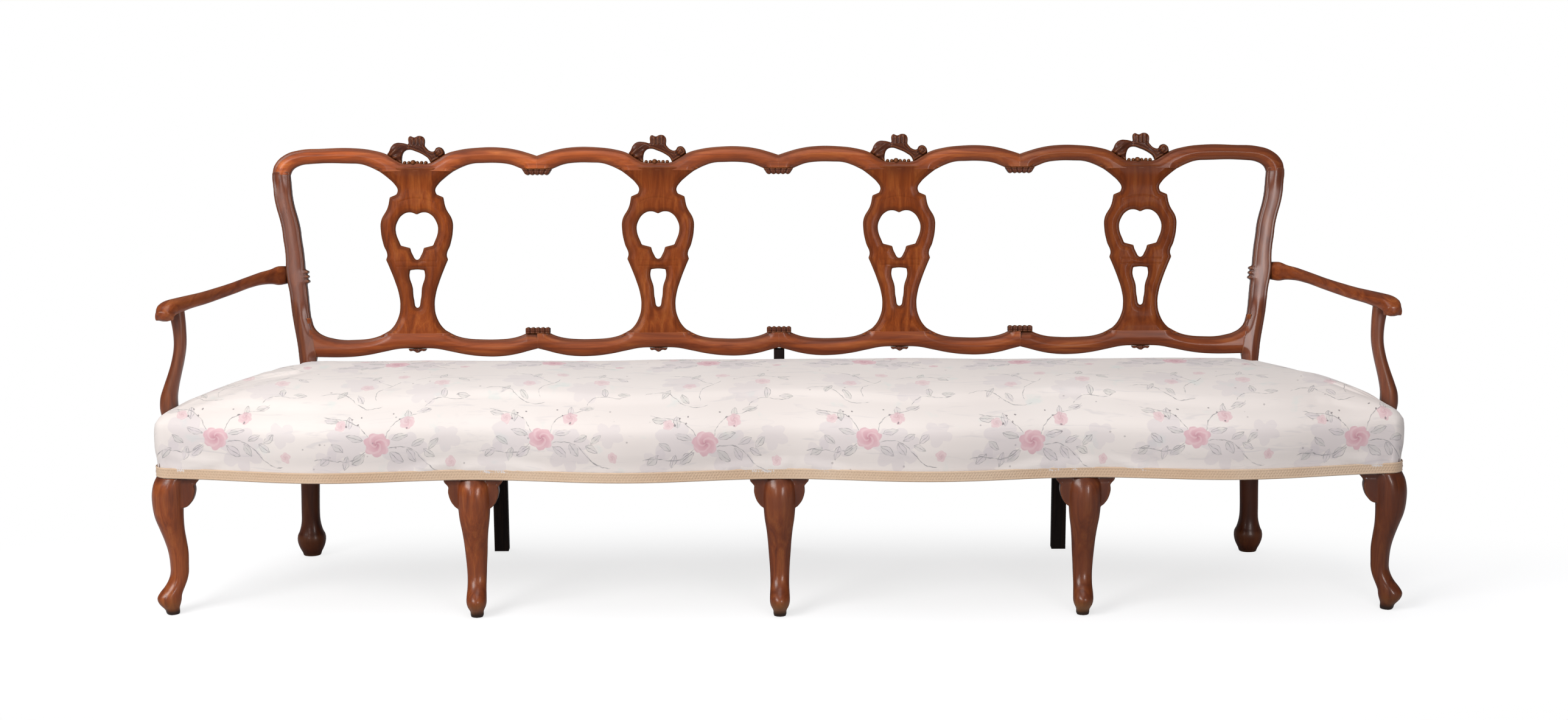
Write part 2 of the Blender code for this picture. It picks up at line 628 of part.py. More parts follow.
for side, end in ((-1, 0), (1, -1)):
    top_rail = top_rails[end]
    bottom_rail = bottom_rails[end]
    x = side * (POST_X + POST_FLARE)
    low = (x - POST_TENON_WIDTH / 2, SHOULDER_UP - PEG_REACH, -POST_TENON_DEPTH / 2)
    high = (x + POST_TENON_WIDTH / 2, SHOULDER_UP + POST_TENON, POST_TENON_DEPTH / 2)
    tenon(posts[side], top_rail, low, high, back_plane)
    line = BOTTOM_RAIL_UP + BOTTOM_RAIL_DEPTH / 2
    ends = sorted((side * (POST_INNER_X - PEG_REACH * 2), side * (POST_INNER_X + POST_TENON)))
    low = (ends[0], line - POST_TENON_WIDTH / 2, -POST_TENON_DEPTH / 2)
    high = (ends[1], line + POST_TENON_WIDTH / 2, POST_TENON_DEPTH / 2)
    tenon(bottom_rail, posts[side], low, high, back_plane)

# Carved crests, an arch of scrolls standing on the dip of each top rail


def crest_outline():
    """Shares of half width and height: a ball scroll, a leaf on top and a leaf mass, round an opening."""
    points = [
        (0.52, -0.13, "corner"), (0.94, 0.00, "corner"), (1.00, 0.31), (0.95, 0.49), (0.83, 0.58),
        (0.70, 0.54), (0.63, 0.43), (0.47, 0.45), (0.30, 0.62, "corner"), (0.27, 0.93), (0.11, 1.00),
        (-0.06, 0.94), (-0.22, 0.98), (-0.26, 0.68, "corner"), (-0.50, 0.74), (-0.72, 0.73), (-0.86, 0.61),
        (-0.94, 0.43), (-1.03, 0.28), (-0.97, 0.00, "corner"), (-0.48, -0.13, "corner"), (-0.50, 0.21),
        (-0.42, 0.42), (-0.27, 0.49), (0.00, 0.42), (0.28, 0.28), (0.45, 0.13),
    ]
    return [(CREST_HALF * p[0], CREST_UP + CREST_HEIGHT * p[1], *p[2:]) for p in points]


for i, x in enumerate(chair_x):
    crest = board(
        f"crest_{i + 1}", [crest_outline()], CREST_BOARD, CREST_EDGE, WALNUT, back_plane, x, steps=1)
    cut(crest, rail_cutters[i])

# Carved clasps over the rail joints, and drops under the splats


def lobed_edge(half, line, away, lobes, nick):
    """Scalloped edge from +half to -half: round lobes with a nick between each two."""
    points = []
    for k in range(lobes):
        at = half - 2 * half * (k + 0.5) / lobes
        points.append((at, line + away * nick))
        if k < lobes - 1:
            points.append((half - 2 * half * (k + 1) / lobes, line, "corner"))
    return points


top_clasp_up = TOP_CLASP_UP - FIT
low_clasp_up = LOW_CLASP_UP + FIT
for i in range(CHAIRS - 1):
    x = chair_x[i] + HALF_CHAIR
    tip = top_clasp_up - CLASP_HEIGHT
    outline = [(-CLASP_TIP_HALF, tip, "corner"), (-CLASP_BASE_HALF, top_clasp_up, "corner")]
    outline += [(CLASP_BASE_HALF, top_clasp_up, "corner"), (CLASP_TIP_HALF, tip, "corner")]
    outline += lobed_edge(CLASP_TIP_HALF, tip, -1, CLASP_LOBES, CLASP_NICK)
    board(f"top_clasp_{i + 1}", [outline], CLASP_BOARD, CREST_EDGE, WALNUT, back_plane, x, steps=1)
    tip = low_clasp_up + CLASP_HEIGHT
    outline = [(-LOW_CLASP_HALF, tip, "corner"), (-LOW_CLASP_HALF, low_clasp_up, "corner")]
    outline += [(LOW_CLASP_HALF, low_clasp_up, "corner"), (LOW_CLASP_HALF, tip, "corner")]
    outline += lobed_edge(LOW_CLASP_HALF, tip, 1, CLASP_LOBES, CLASP_NICK)
    board(f"bottom_clasp_{i + 1}", [outline], CLASP_BOARD, CREST_EDGE, WALNUT, back_plane, x, steps=1)

drop_up = BOTTOM_RAIL_UP + SPLAT_NOTCH
for i, x in enumerate(chair_x):
    outline = [
        (0.0, drop_up - DROP_HEIGHT), (DROP_HALF * 0.45, drop_up - DROP_HEIGHT * 0.55),
        (DROP_HALF * 0.82, drop_up - DROP_HEIGHT * 0.6), (DROP_HALF, drop_up - DROP_HEIGHT * 0.1, "corner"),
        (DROP_HALF, drop_up + DROP_HEIGHT * 0.5, "corner"),
    ]
    outline = mirrored(outline)
    carved = board(f"splat_drop_{i + 1}", [outline], DROP_BOARD, DROP_EDGE, WALNUT, back_plane, x, steps=2)
    cut(carved, low_rail_cutters[i])

# Seat rails


def front_face(x):
    """Front face of the front rail, bowed in each bay between two legs."""
    at = abs(x)
    if at < INNER_LEG_X:
        bay = at / INNER_LEG_X
    else:
        bay = 1 + (at - INNER_LEG_X) / (CORNER_LEG_X - INNER_LEG_X)
    swell = (1 - math.cos(2 * math.pi * bay)) / 2
    return FOOT_LINE_Y + RAIL_FRONT - FRONT_BOW * swell + CORNER_SETBACK * (at / CORNER_LEG_X) ** 4


def front_back_face(x):
    return FOOT_LINE_Y + RAIL_FRONT + RAIL_THICK + CORNER_SETBACK * (abs(x) / CORNER_LEG_X) ** 4


RAIL_END_X = CORNER_LEG_X - CORNER_HEAD / 2 - FIT
SIDE_START_Y = CORNER_HEAD_Y + CORNER_HEAD / 2 + FIT
SIDE_END_Y = POST_FRONT_Y - FIT
front_xs = [INNER_LEG_X * k / BAY_STEPS for k in range(BAY_STEPS)]
front_xs += [blend(INNER_LEG_X, RAIL_END_X, k / BAY_STEPS) for k in range(BAY_STEPS + 1)]
side_ys = [blend(SIDE_START_Y, SIDE_END_Y, k / SIDE_STEPS) for k in range(SIDE_STEPS + 1)]


def side_curve(y):
    """Smooth outer face of a side rail, as a distance from the middle."""
    share = (y - CORNER_HEAD_Y) / (POST_FRONT_Y - CORNER_HEAD_Y)
    bow = SIDE_BOW * math.sin(math.pi * min(max(share, 0.0), 1.0))
    return blend(CORNER_OUTER_X, POST_X + SIDE_FLARE, share) + bow


def side_face(y):
    """The same face as the flats between its stations."""
    k = min(max(int((y - SIDE_START_Y) / (SIDE_END_Y - SIDE_START_Y) * SIDE_STEPS), 0), SIDE_STEPS - 1)
    share = (y - side_ys[k]) / (side_ys[k + 1] - side_ys[k])
    return blend(side_curve(side_ys[k]), side_curve(side_ys[k + 1]), share)


def side_slope(y):
    """Outward direction across a side rail."""
    run = 0.002
    lean = (side_curve(y + run) - side_curve(y - run)) / (2 * run)
    return Vector((1.0, -lean, 0.0)).normalized()


SIDE_RAIL_WIDTH = RAIL_THICK / side_slope((CORNER_HEAD_Y + POST_FRONT_Y) / 2).x


def prism(name, outline, low, high, skin):
    """An upright solid on a plan outline of (x, y) points."""
    shape = bmesh.new()
    floor = [shape.verts.new((x, y, low)) for x, y in outline]
    face = shape.faces.new(floor)
    raised = bmesh.ops.extrude_face_region(shape, geom=[face])
    for part in raised["geom"]:
        if isinstance(part, bmesh.types.BMVert):
            part.co.z = high
    bmesh.ops.recalc_face_normals(shape, faces=shape.faces)
    mesh = bpy.data.meshes.new(name)
    shape.to_mesh(mesh)
    shape.free()
    return add_piece(name, mesh, skin)


rail_xs = [-x for x in reversed(front_xs[1:])] + front_xs
front_plan = [(x, front_face(x)) for x in rail_xs] + [(x, front_back_face(x)) for x in reversed(rail_xs)]
front_rail = prism("front_seat_rail", front_plan, LEG_HEIGHT, SEAT_Z, FRAME_WOOD)

rear_end = POST_INNER_X - FIT
rear_rail = box_piece(
    "rear_seat_rail", (-rear_end, REAR_RAIL_FRONT_Y, LEG_HEIGHT), (rear_end, POST_REAR_Y, SEAT_Z), FRAME_WOOD)
rail_mid_z = (LEG_HEIGHT + SEAT_Z) / 2
for side in (-1, 1):
    ends = sorted((side * (rear_end - PEG_REACH), side * (POST_INNER_X + RAIL_TENON)))
    low = (ends[0], BACK_Y - RAIL_TENON_WIDTH / 2, rail_mid_z - RAIL_TENON_HEIGHT / 2)
    high = (ends[1], BACK_Y + RAIL_TENON_WIDTH / 2, rail_mid_z + RAIL_TENON_HEIGHT / 2)
    tenon(rear_rail, posts[side], low, high)

side_rails = {}
for side, hand in ((-1, "left"), (1, "right")):
    plan = [(side * side_face(y), y) for y in side_ys]
    plan += [(side * (side_face(y) - SIDE_RAIL_WIDTH), y) for y in reversed(side_ys)]
    side_rails[side] = prism(f"{hand}_side_rail", plan, LEG_HEIGHT, SEAT_Z, FRAME_WOOD)

# Cross rails, tenoned between the front and rear rails

for i, x in enumerate((-INNER_LEG_X, 0.0, INNER_LEG_X)):
    top = SEAT_Z - CROSS_DROP
    start = max(front_back_face(x - CROSS_WIDTH / 2), front_back_face(x + CROSS_WIDTH / 2)) + FIT
    low = (x - CROSS_WIDTH / 2, start, top - CROSS_HEIGHT)
    high = (x + CROSS_WIDTH / 2, REAR_RAIL_FRONT_Y - FIT, top)
    cross = box_piece(f"cross_rail_{i + 1}", low, high, FRAME_WOOD)
    middle = top - CROSS_HEIGHT / 2
    for mate, near, far in (
        (front_rail, start - FIT - CROSS_TENON, start + PEG_REACH),
        (rear_rail, REAR_RAIL_FRONT_Y - PEG_REACH, REAR_RAIL_FRONT_Y + CROSS_TENON),
    ):
        low = (x - RAIL_TENON_WIDTH / 2, near, middle - CROSS_HEIGHT / 4)
        high = (x + RAIL_TENON_WIDTH / 2, far, middle + CROSS_HEIGHT / 4)
        tenon(cross, mate, low, high)

# Corner blocks glued inside the frame

for side, hand in ((-1, "left"), (1, "right")):
    head_in = CORNER_LEG_X - CORNER_HEAD / 2 - FIT
    y0 = SIDE_START_Y
    far_x = head_in - BLOCK_REACH
    y_far = y0 + BLOCK_REACH
    plan = [
        (far_x, front_back_face(far_x) + FIT), (head_in - FIT, front_back_face(head_in) + FIT),
        (head_in - FIT, y0), (side_face(y0) - SIDE_RAIL_WIDTH - FIT, y0),
        (side_face(y_far) - SIDE_RAIL_WIDTH - FIT, y_far),
    ]
    plan = [(side * x, y) for x, y in plan]
    prism(f"{hand}_front_block", plan, LEG_HEIGHT, LEG_HEIGHT + BLOCK_HEIGHT, FRAME_WOOD)
    y1 = REAR_RAIL_FRONT_Y - FIT
    y_post = POST_FRONT_Y - FIT
    inner = side_face(y_post) - SIDE_RAIL_WIDTH - FIT
    y_far = y1 - BLOCK_REACH
    x_far = POST_INNER_X - BLOCK_REACH
    plan = [
        (x_far, y1), (min(inner, rear_end), y1), (inner, min(y1, y_post)),
        (side_face(y_far) - SIDE_RAIL_WIDTH - FIT, y_far),
    ]
    plan = [(side * x, y) for x, y in plan]
    prism(f"{hand}_rear_block", plan, LEG_HEIGHT, LEG_HEIGHT + BLOCK_HEIGHT, FRAME_WOOD)

# Cabriole front legs

LEG_RING = section(10, 2.5)


def leg_rows():
    """Height, set back from the knee, half width and half depth, from the floor up."""
    rows = [
        (0.0, -TOE_SET * 0.25, FRONT_BASE, FRONT_BASE),
        (FRONT_TOE_HEIGHT * 0.3, -TOE_SET * 0.5, FRONT_BASE * 1.15, FRONT_BASE * 1.3),
        (FRONT_TOE_HEIGHT * 0.65, -TOE_SET * 0.9, FRONT_TOE * 0.78, FRONT_TOE * 0.86),
        (FRONT_TOE_HEIGHT, -TOE_SET, FRONT_TOE, FRONT_TOE * 1.04),
        (blend(FRONT_TOE_HEIGHT, FRONT_ANKLE_HEIGHT, 0.30), 0.002, FRONT_TOE * 0.90, FRONT_TOE * 0.90),
        (blend(FRONT_TOE_HEIGHT, FRONT_ANKLE_HEIGHT, 0.65), ANKLE_SET * 0.8, FRONT_ANKLE * 1.06, FRONT_ANKLE),
        (FRONT_ANKLE_HEIGHT, ANKLE_SET, FRONT_ANKLE, FRONT_ANKLE * 0.95),
    ]
    low = FRONT_ANKLE_HEIGHT
    for share, back, wide in ((0.28, 0.92, 0.16), (0.45, 0.66, 0.28), (0.62, 0.34, 0.46), (0.80, 0.08, 0.74)):
        half = blend(FRONT_ANKLE, KNEE_HALF, wide)
        rows.append((blend(low, KNEE_HEIGHT, share), ANKLE_SET * back, half, half * 0.92))
    rows.append((KNEE_HEIGHT, 0.0, KNEE_HALF, KNEE_HALF * 0.92))
    rows.append((blend(KNEE_HEIGHT, LEG_HEIGHT, 0.5), 0.0, KNEE_HALF * 1.03, KNEE_HALF * 0.94))
    rows.append((LEG_HEIGHT - FIT, ANKLE_SET * 0.25, KNEE_HALF * 1.03, KNEE_HALF * 0.88))
    return rows


def ear_outline(reach_left, reach_right):
    """Stepped scroll brackets under the seat rail, either side of a leg."""
    top = LEG_HEIGHT - FIT
    right = [
        (reach_right, top, "corner"), (reach_right * 0.99, top - EAR_HEIGHT * 0.17),
        (reach_right * 0.90, top - EAR_HEIGHT * 0.38, "corner"),
        (reach_right * 0.80, top - EAR_HEIGHT * 0.50), (reach_right * 0.66, top - EAR_HEIGHT * 0.78),
        (reach_right * 0.45, top - EAR_HEIGHT),
    ]
    left = [(-p[0] / reach_right * reach_left, *p[1:]) for p in reversed(right)]
    return right + left


def add_ears(leg, name, place, turn, reach_left, reach_right, set_back):
    ears = hide(board(name, [ear_outline(reach_left, reach_right)], EAR_BOARD, EAR_EDGE, WALNUT, steps=2))
    ears.rotation_euler = (math.pi / 2, 0.0, turn)
    inward = Vector((-math.sin(turn), math.cos(turn), 0.0))
    ears.location = Vector(place) + inward * set_back
    join(leg, ears)


def corner_head_plan():
    """Plan of a right-hand corner leg's head, rounded like the seat's corner."""
    inner = CORNER_LEG_X - CORNER_HEAD / 2
    rear = CORNER_FRONT_Y + CORNER_HEAD
    plan = [(inner, rear), (inner, CORNER_FRONT_Y)]
    for k in range(CORNER_STEPS + 1):
        turn = math.pi * 1.5 + math.radians(CORNER_SWEEP) * k / CORNER_STEPS
        x = CORNER_OUTER_X - CORNER_ROUND + CORNER_ROUND * math.cos(turn)
        plan.append((x, CORNER_FRONT_Y + CORNER_ROUND + CORNER_ROUND * math.sin(turn)))
    plan.append((side_face(rear), rear))
    return plan


legs = []
leg_places = [(-2, -CORNER_KNEE_X), (-1, -INNER_LEG_X), (0, 0.0), (1, INNER_LEG_X), (2, CORNER_KNEE_X)]
for i, (order, x) in enumerate(leg_places):
    corner = abs(order) == 2
    turn = math.copysign(CORNER_TURN, order) if corner else 0.0
    facing = Vector((math.sin(turn), -math.cos(turn), 0.0))
    across = Vector((math.cos(turn), math.sin(turn), 0.0))
    back = CORNER_KNEE_BACK if corner else KNEE_BACK
    knee = Vector((x, FOOT_LINE_Y + back, 0.0))
    stations = []
    for z, set_back, wide, deep in leg_rows():
        stations.append((knee - facing * set_back + Vector((0, 0, z)), across * wide, facing * deep))
    leg = limb(f"front_leg_{i + 1}", stations, LEG_RING, WALNUT)
    legs.append(leg)
    if corner:
        side = math.copysign(1, order)
        sides = (EAR_REACH, EAR_REACH * 0.2) if side > 0 else (EAR_REACH * 0.2, EAR_REACH)
        add_ears(leg, f"front_ear_{i}", (side * CORNER_LEG_X, CORNER_FRONT_Y, 0), 0.0, *sides, EAR_BOARD / 2)
        side_turn = math.atan2(side_slope(SIDE_START_Y).x, -side_slope(SIDE_START_Y).y) * side
        sides = (EAR_REACH * 0.2, EAR_REACH) if side > 0 else (EAR_REACH, EAR_REACH * 0.2)
        place = (side * CORNER_OUTER_X, CORNER_HEAD_Y, 0)
        add_ears(leg, f"side_ear_{i}", place, side_turn, *sides, EAR_BOARD / 2)
        head_plan = [(side * px, py) for px, py in corner_head_plan()]
        head = hide(prism(f"leg_head_{i}", head_plan, LEG_HEIGHT - PEG_REACH, SEAT_Z, WALNUT))
        join(leg, head)
        ends = sorted((side * (RAIL_END_X - PEG_REACH), side * (RAIL_END_X + FIT + RAIL_TENON)))
        middle = (front_face(RAIL_END_X) + front_back_face(RAIL_END_X)) / 2
        low = (ends[0], middle - RAIL_TENON_WIDTH / 2, rail_mid_z - RAIL_TENON_HEIGHT / 2)
        high = (ends[1], middle + RAIL_TENON_WIDTH / 2, rail_mid_z + RAIL_TENON_HEIGHT / 2)
        tenon(front_rail, leg, low, high)
        middle = side * (side_face(SIDE_START_Y) - SIDE_RAIL_WIDTH / 2)
        start = SIDE_START_Y - FIT - RAIL_TENON
        low = (middle - RAIL_TENON_WIDTH / 2, start, rail_mid_z - RAIL_TENON_HEIGHT / 2)
        high = (middle + RAIL_TENON_WIDTH / 2, SIDE_START_Y + PEG_REACH, rail_mid_z + RAIL_TENON_HEIGHT / 2)
        tenon(side_rails[side], leg, low, high)
    else:
        add_ears(leg, f"ear_{i}", (x, front_face(x), 0), 0.0, EAR_REACH, EAR_REACH, EAR_BOARD / 2)
        middle = (front_face(x) + front_back_face(x)) / 2
        low = (x - LEG_TENON / 2, middle - LEG_TENON / 4, LEG_HEIGHT - PEG_REACH)
        high = (x + LEG_TENON / 2, middle + LEG_TENON / 4, LEG_HEIGHT + LEG_TENON_HEIGHT)
        tenon(leg, front_rail, low, high)

# Rear stakes lapped on the rear rail; the centre one runs up to prop the back

stake_front = POST_REAR_Y + FIT
stake_top = LEG_HEIGHT + STAKE_LAP
for hand, x in (("left", -INNER_LEG_X), ("right", INNER_LEG_X)):
    box_piece(
        f"{hand}_rear_stake", (x - STAKE_WIDTH / 2, stake_front, 0.0),
        (x + STAKE_WIDTH / 2, stake_front + STAKE_DEPTH, stake_top), DARK_WOOD)
centre_stake = box_piece(
    "centre_rear_stake", (-STAKE_WIDTH / 2, stake_front, 0.0),
    (STAKE_WIDTH / 2, stake_front + STAKE_DEPTH, stake_top), DARK_WOOD)
prop_foot = Vector((0.0, stake_front + STAKE_DEPTH / 2, stake_top - PEG_REACH))
prop_head = on_back(0.0, BOTTOM_RAIL_UP + LOW_NOTCH - FIT) + Vector((0.0, PROP_SET_BACK, -PROP_SHORT))
prop_across = Vector((PROP_WIDTH / 2, 0, 0))
prop = hide(limb(
    "back_prop",
    [(prop_foot, prop_across, Vector((0, PROP_FOOT_DEPTH / 2, 0))),
     (prop_head, prop_across, Vector((0, PROP_HEAD_DEPTH / 2, 0)))],
    section(4, 200.0), DARK_WOOD))
join(centre_stake, prop)

# Arms and their supports

ARM_RING = section(10, 3.0)
SUPPORT_RING = section(8, 4.0)


def arm_stations(side):
    """Rows of share along, shares of the bow, the rise and the lift, half width and half height."""
    root = on_back(POST_X + post_lean(ARM_UP), ARM_UP)
    hand = Vector((HAND_X, FOOT_LINE_Y + HAND_BACK, HAND_HEIGHT))
    rise = hand.z - root.z
    slim = ARM_WAIST_HALF
    rows = [
        (0.00, 0.00, 0.00, 0.0, ARM_HALF_WIDTH, ARM_ROOT_HALF),
        (0.05, 0.50, 0.10, 0.0, ARM_HALF_WIDTH, ARM_ROOT_HALF),
        (0.15, 1.00, 0.35, 0.0, ARM_HALF_WIDTH, blend(ARM_ROOT_HALF, slim, 0.7)),
        (0.28, 0.79, 0.55, 0.0, ARM_HALF_WIDTH, slim),
        (0.44, 0.34, 0.70, 0.0, ARM_HALF_WIDTH, slim),
        (0.60, 0.05, 0.85, 0.0, blend(ARM_HALF_WIDTH, HAND_HALF_WIDTH, 0.2), slim),
        (0.74, -0.13, 1.0, 0.125, blend(ARM_HALF_WIDTH, HAND_HALF_WIDTH, 0.5), slim),
        (0.86, -0.10, 1.0, 0.875, blend(ARM_HALF_WIDTH, HAND_HALF_WIDTH, 0.85),
         blend(slim, ARM_HAND_HALF, 0.1)),
        (0.945, -0.03, 1.0, 1.0, HAND_HALF_WIDTH, blend(slim, ARM_HAND_HALF, 0.6)),
        (1.00, 0.00, 1.0, 0.0, HAND_HALF_WIDTH * 0.96, ARM_HAND_HALF),
        (1.030, 0.05, 1.0, -1.75, HAND_HALF_WIDTH * 0.80, ARM_HAND_HALF * 0.88),
        (1.045, 0.05, 1.0, -3.0, HAND_HALF_WIDTH * 0.45, ARM_HAND_HALF * 0.52),
    ]
    middles = []
    for along, bow, climb, lift, wide, high in rows:
        x = blend(root.x, hand.x, min(along, 1.0)) + ARM_BOW * bow
        y = blend(root.y, hand.y, along)
        middles.append(Vector((side * x, y, root.z + rise * climb + HAND_LIFT * lift)))
    stations = []
    for k, (middle, row) in enumerate(zip(middles, rows)):
        ahead = middles[min(k + 1, len(middles) - 1)] - middles[max(k - 1, 0)]
        flat = Vector((ahead.y, -ahead.x, 0.0)).normalized()
        upright = flat.cross(ahead).normalized()
        stations.append((middle, flat * row[4], upright * row[5]))
    return stations


def support_stations(side):
    """Rows of height, share from foot to top, share of the bulge and half thickness."""
    foot_y = FOOT_LINE_Y + SUPPORT_BACK
    out = side_slope(foot_y)
    foot = Vector((side_face(foot_y), foot_y, 0.0)) + out * (SUPPORT_HALF + FIT)
    top = Vector((SUPPORT_TOP_X, FOOT_LINE_Y + SUPPORT_TOP_BACK, 0.0))
    shoulder_z = HAND_HEIGHT - SUPPORT_SINK
    rows = [
        (SUPPORT_FOOT, 0.00, 0.00, SUPPORT_HALF),
        (blend(SUPPORT_FOOT, SEAT_Z, 0.7), 0.00, 0.00, SUPPORT_HALF),
        (blend(SEAT_Z, shoulder_z, 0.09), 0.05, 0.33, blend(SUPPORT_HALF, SUPPORT_SWELL, 0.4)),
        (blend(SEAT_Z, shoulder_z, 0.19), 0.14, 1.00, SUPPORT_SWELL * 0.96),
        (blend(SEAT_Z, shoulder_z, 0.29), 0.32, 1.00, SUPPORT_SWELL),
        (blend(SEAT_Z, shoulder_z, 0.42), 0.62, 0.00, blend(SUPPORT_SWELL, SUPPORT_NECK, 0.5)),
        (blend(SEAT_Z, shoulder_z, 0.57), 0.90, -0.33, SUPPORT_NECK),
        (blend(SEAT_Z, shoulder_z, 0.73), 1.00, -1.00, SUPPORT_NECK),
        (blend(SEAT_Z, shoulder_z, 0.88), 1.00, 0.00, SUPPORT_NECK * 1.05),
        (shoulder_z, 1.00, 1.00, SUPPORT_NECK * 1.10),
    ]
    along = Vector((-out.y, out.x, 0.0))
    stations = []
    for z, share, bulge, half in rows:
        middle = foot.lerp(top, share) + out * SUPPORT_BULGE * bulge
        place = Vector((side * middle.x, middle.y, z))
        wide = Vector((side * out.x, out.y, 0.0)) * half
        deep = Vector((side * along.x, along.y, 0.0)) * half
        stations.append((place, wide, deep))
    return stations


support_cutters = {}
for side, hand in ((-1, "left"), (1, "right")):
    arm = limb(f"{hand}_arm", arm_stations(side), ARM_RING, WALNUT, split=True)
    cut(arm, post_cutters[side])
    arm_cutter = hide(limb(
        f"{hand}_arm_space", arm_stations(side), ARM_RING, WALNUT, grow=FIT, split=True))
    support = limb(f"{hand}_arm_support", support_stations(side), SUPPORT_RING, WALNUT)
    support_cutters[side] = hide(limb(
        f"{hand}_support_space", support_stations(side), SUPPORT_RING, WALNUT, grow=FIT * 2))
    cut(support, arm_cutter)
    root = on_back(side * (POST_X + post_lean(ARM_UP)), ARM_UP)
    ends = sorted((root.x + side * POST_WIDTH * 0.10, root.x + side * (POST_WIDTH / 2 + PEG_REACH)))
    line = root.y - ARM_TENON_FORWARD
    low = (ends[0], line - POST_TENON_DEPTH / 2, root.z - POST_TENON_WIDTH / 2)
    high = (ends[1], line + POST_TENON_DEPTH / 2, root.z + POST_TENON_WIDTH / 2)
    tenon(arm, posts[side], low, high)
    top = support_stations(side)[-1][0]
    peg_half = SUPPORT_NECK * 0.4
    low = (top.x - peg_half, top.y - peg_half, top.z - ARM_HAND_HALF - PEG_REACH * 2)
    high = (top.x + peg_half, top.y + peg_half, HAND_HEIGHT)
    tenon(support, arm, low, high)

# Upholstery: one plan outline serves the base cloth, the stuffing and the cover


def seat_plan(inset):
    """Right half of the plan, from the front middle to the back middle, and the wall each point is on."""
    points = []
    arc_x = CORNER_OUTER_X - CORNER_ROUND
    arc_y = CORNER_FRONT_Y + CORNER_ROUND
    skin = COVER_SKIN - inset
    for x in front_xs:
        points.append((x, front_face(x) - skin, "front"))
    start = math.pi * 1.5
    for i in range(CORNER_STEPS + 1):
        turn = start + math.radians(CORNER_SWEEP) * i / CORNER_STEPS
        reach = CORNER_ROUND + skin
        points.append((arc_x + reach * math.cos(turn), arc_y + reach * math.sin(turn), "front"))
    for y in side_ys[:-1]:
        points.append((side_face(y) + skin, y, "side"))
    rear_y = POST_REAR_Y - POST_GAP - inset
    points.append((side_face(rear_y) + skin, rear_y, "side"))
    for i in range(BACK_STEPS + 1):
        points.append((POST_X * (1 - i / BACK_STEPS), rear_y, "back"))
    return points


def whole_plan(inset):
    right = seat_plan(inset)
    left = [(-x, y, wall) for x, y, wall in reversed(right) if x > 1e-6]
    return right + left


CROWN_LINE_Y = (FOOT_LINE_Y + RAIL_FRONT + POST_REAR_Y) / 2
CROWN_LINE_X = CORNER_OUTER_X - CROWN_END
BASE_Z = SEAT_Z + WEB_THICK + CLOTH_THICK + 3 * FIT


def seat_profile(offset):
    """Share of the way in to the crown, outward swell and height, lowered on the crown by an offset."""
    rise = CROWN_HEIGHT - EDGE_HEIGHT
    wall = EDGE_HEIGHT - LEG_HEIGHT
    rows = [
        (0.0, 0.0, LEG_HEIGHT + FIT),
        (0.0, 0.0, LEG_HEIGHT + wall * 0.30),
        (0.0, COVER_SWELL, LEG_HEIGHT + wall * 0.60),
        (0.0, COVER_SWELL * 0.5, LEG_HEIGHT + wall * 0.84),
        (0.03, 0.0, EDGE_HEIGHT),
        (0.09, 0.0, EDGE_HEIGHT + rise * 0.21),
        (0.22, 0.0, EDGE_HEIGHT + rise * 0.47),
        (0.43, 0.0, EDGE_HEIGHT + rise * 0.74),
        (0.71, 0.0, EDGE_HEIGHT + rise * 0.93),
        (1.0, 0.0, CROWN_HEIGHT),
    ]
    profile = []
    for share, swell, z in rows:
        on_crown = (z - EDGE_HEIGHT) / (rise * 0.42) + 0.5
        profile.append((share, swell, z - offset * min(max(on_crown, 0.0), 1.0)))
    return profile


def dome_rings(offset, low_front, low_back):
    """Rings of points up the walls and over the crown of the seat."""
    plan = whole_plan(offset)
    profile = seat_profile(offset)
    rings = []
    for k, (share, swell, height) in enumerate(profile):
        level = k / (len(profile) - 1)
        ring = []
        for x, y, wall in plan:
            heart = Vector((max(-CROWN_LINE_X, min(CROWN_LINE_X, x)), CROWN_LINE_Y))
            edge = Vector((x, y))
            inward = heart - edge
            out = 0.0 if wall == "back" else swell
            place = edge + inward * CROWN_SHARE * share - inward.normalized() * out
            fall = max(0.0, (place.y - CROWN_LINE_Y) / (POST_REAR_Y - CROWN_LINE_Y))
            floor = low_back if wall == "back" else low_front
            z = max(height - REAR_FALL * fall * (1 - level ** 3), floor + FIT * k)
            if k == 0:
                z = floor
            ring.append(Vector((place.x, place.y, z)))
        rings.append(ring)
    return rings


def skin_rings(shape, rings):
    """Faces between rings of points, split alike on every shell; gives the first and last rings."""
    loops = [[shape.verts.new(p) for p in ring] for ring in rings]
    for low, high in zip(loops, loops[1:]):
        for i in range(len(low)):
            j = (i + 1) % len(low)
            shape.faces.new((low[i], low[j], high[j]))
            shape.faces.new((low[i], high[j], high[i]))
    return loops[0], loops[-1]


def close_crown(shape, loop):
    """Fill the last ring, which is flat."""
    face = shape.faces.new(loop)
    bmesh.ops.triangulate(shape, faces=[face])


def finish(name, shape, skin):
    bmesh.ops.recalc_face_normals(shape, faces=shape.faces)
    mesh = bpy.data.meshes.new(name)
    shape.to_mesh(mesh)
    shape.free()
    return add_piece(name, mesh, skin)


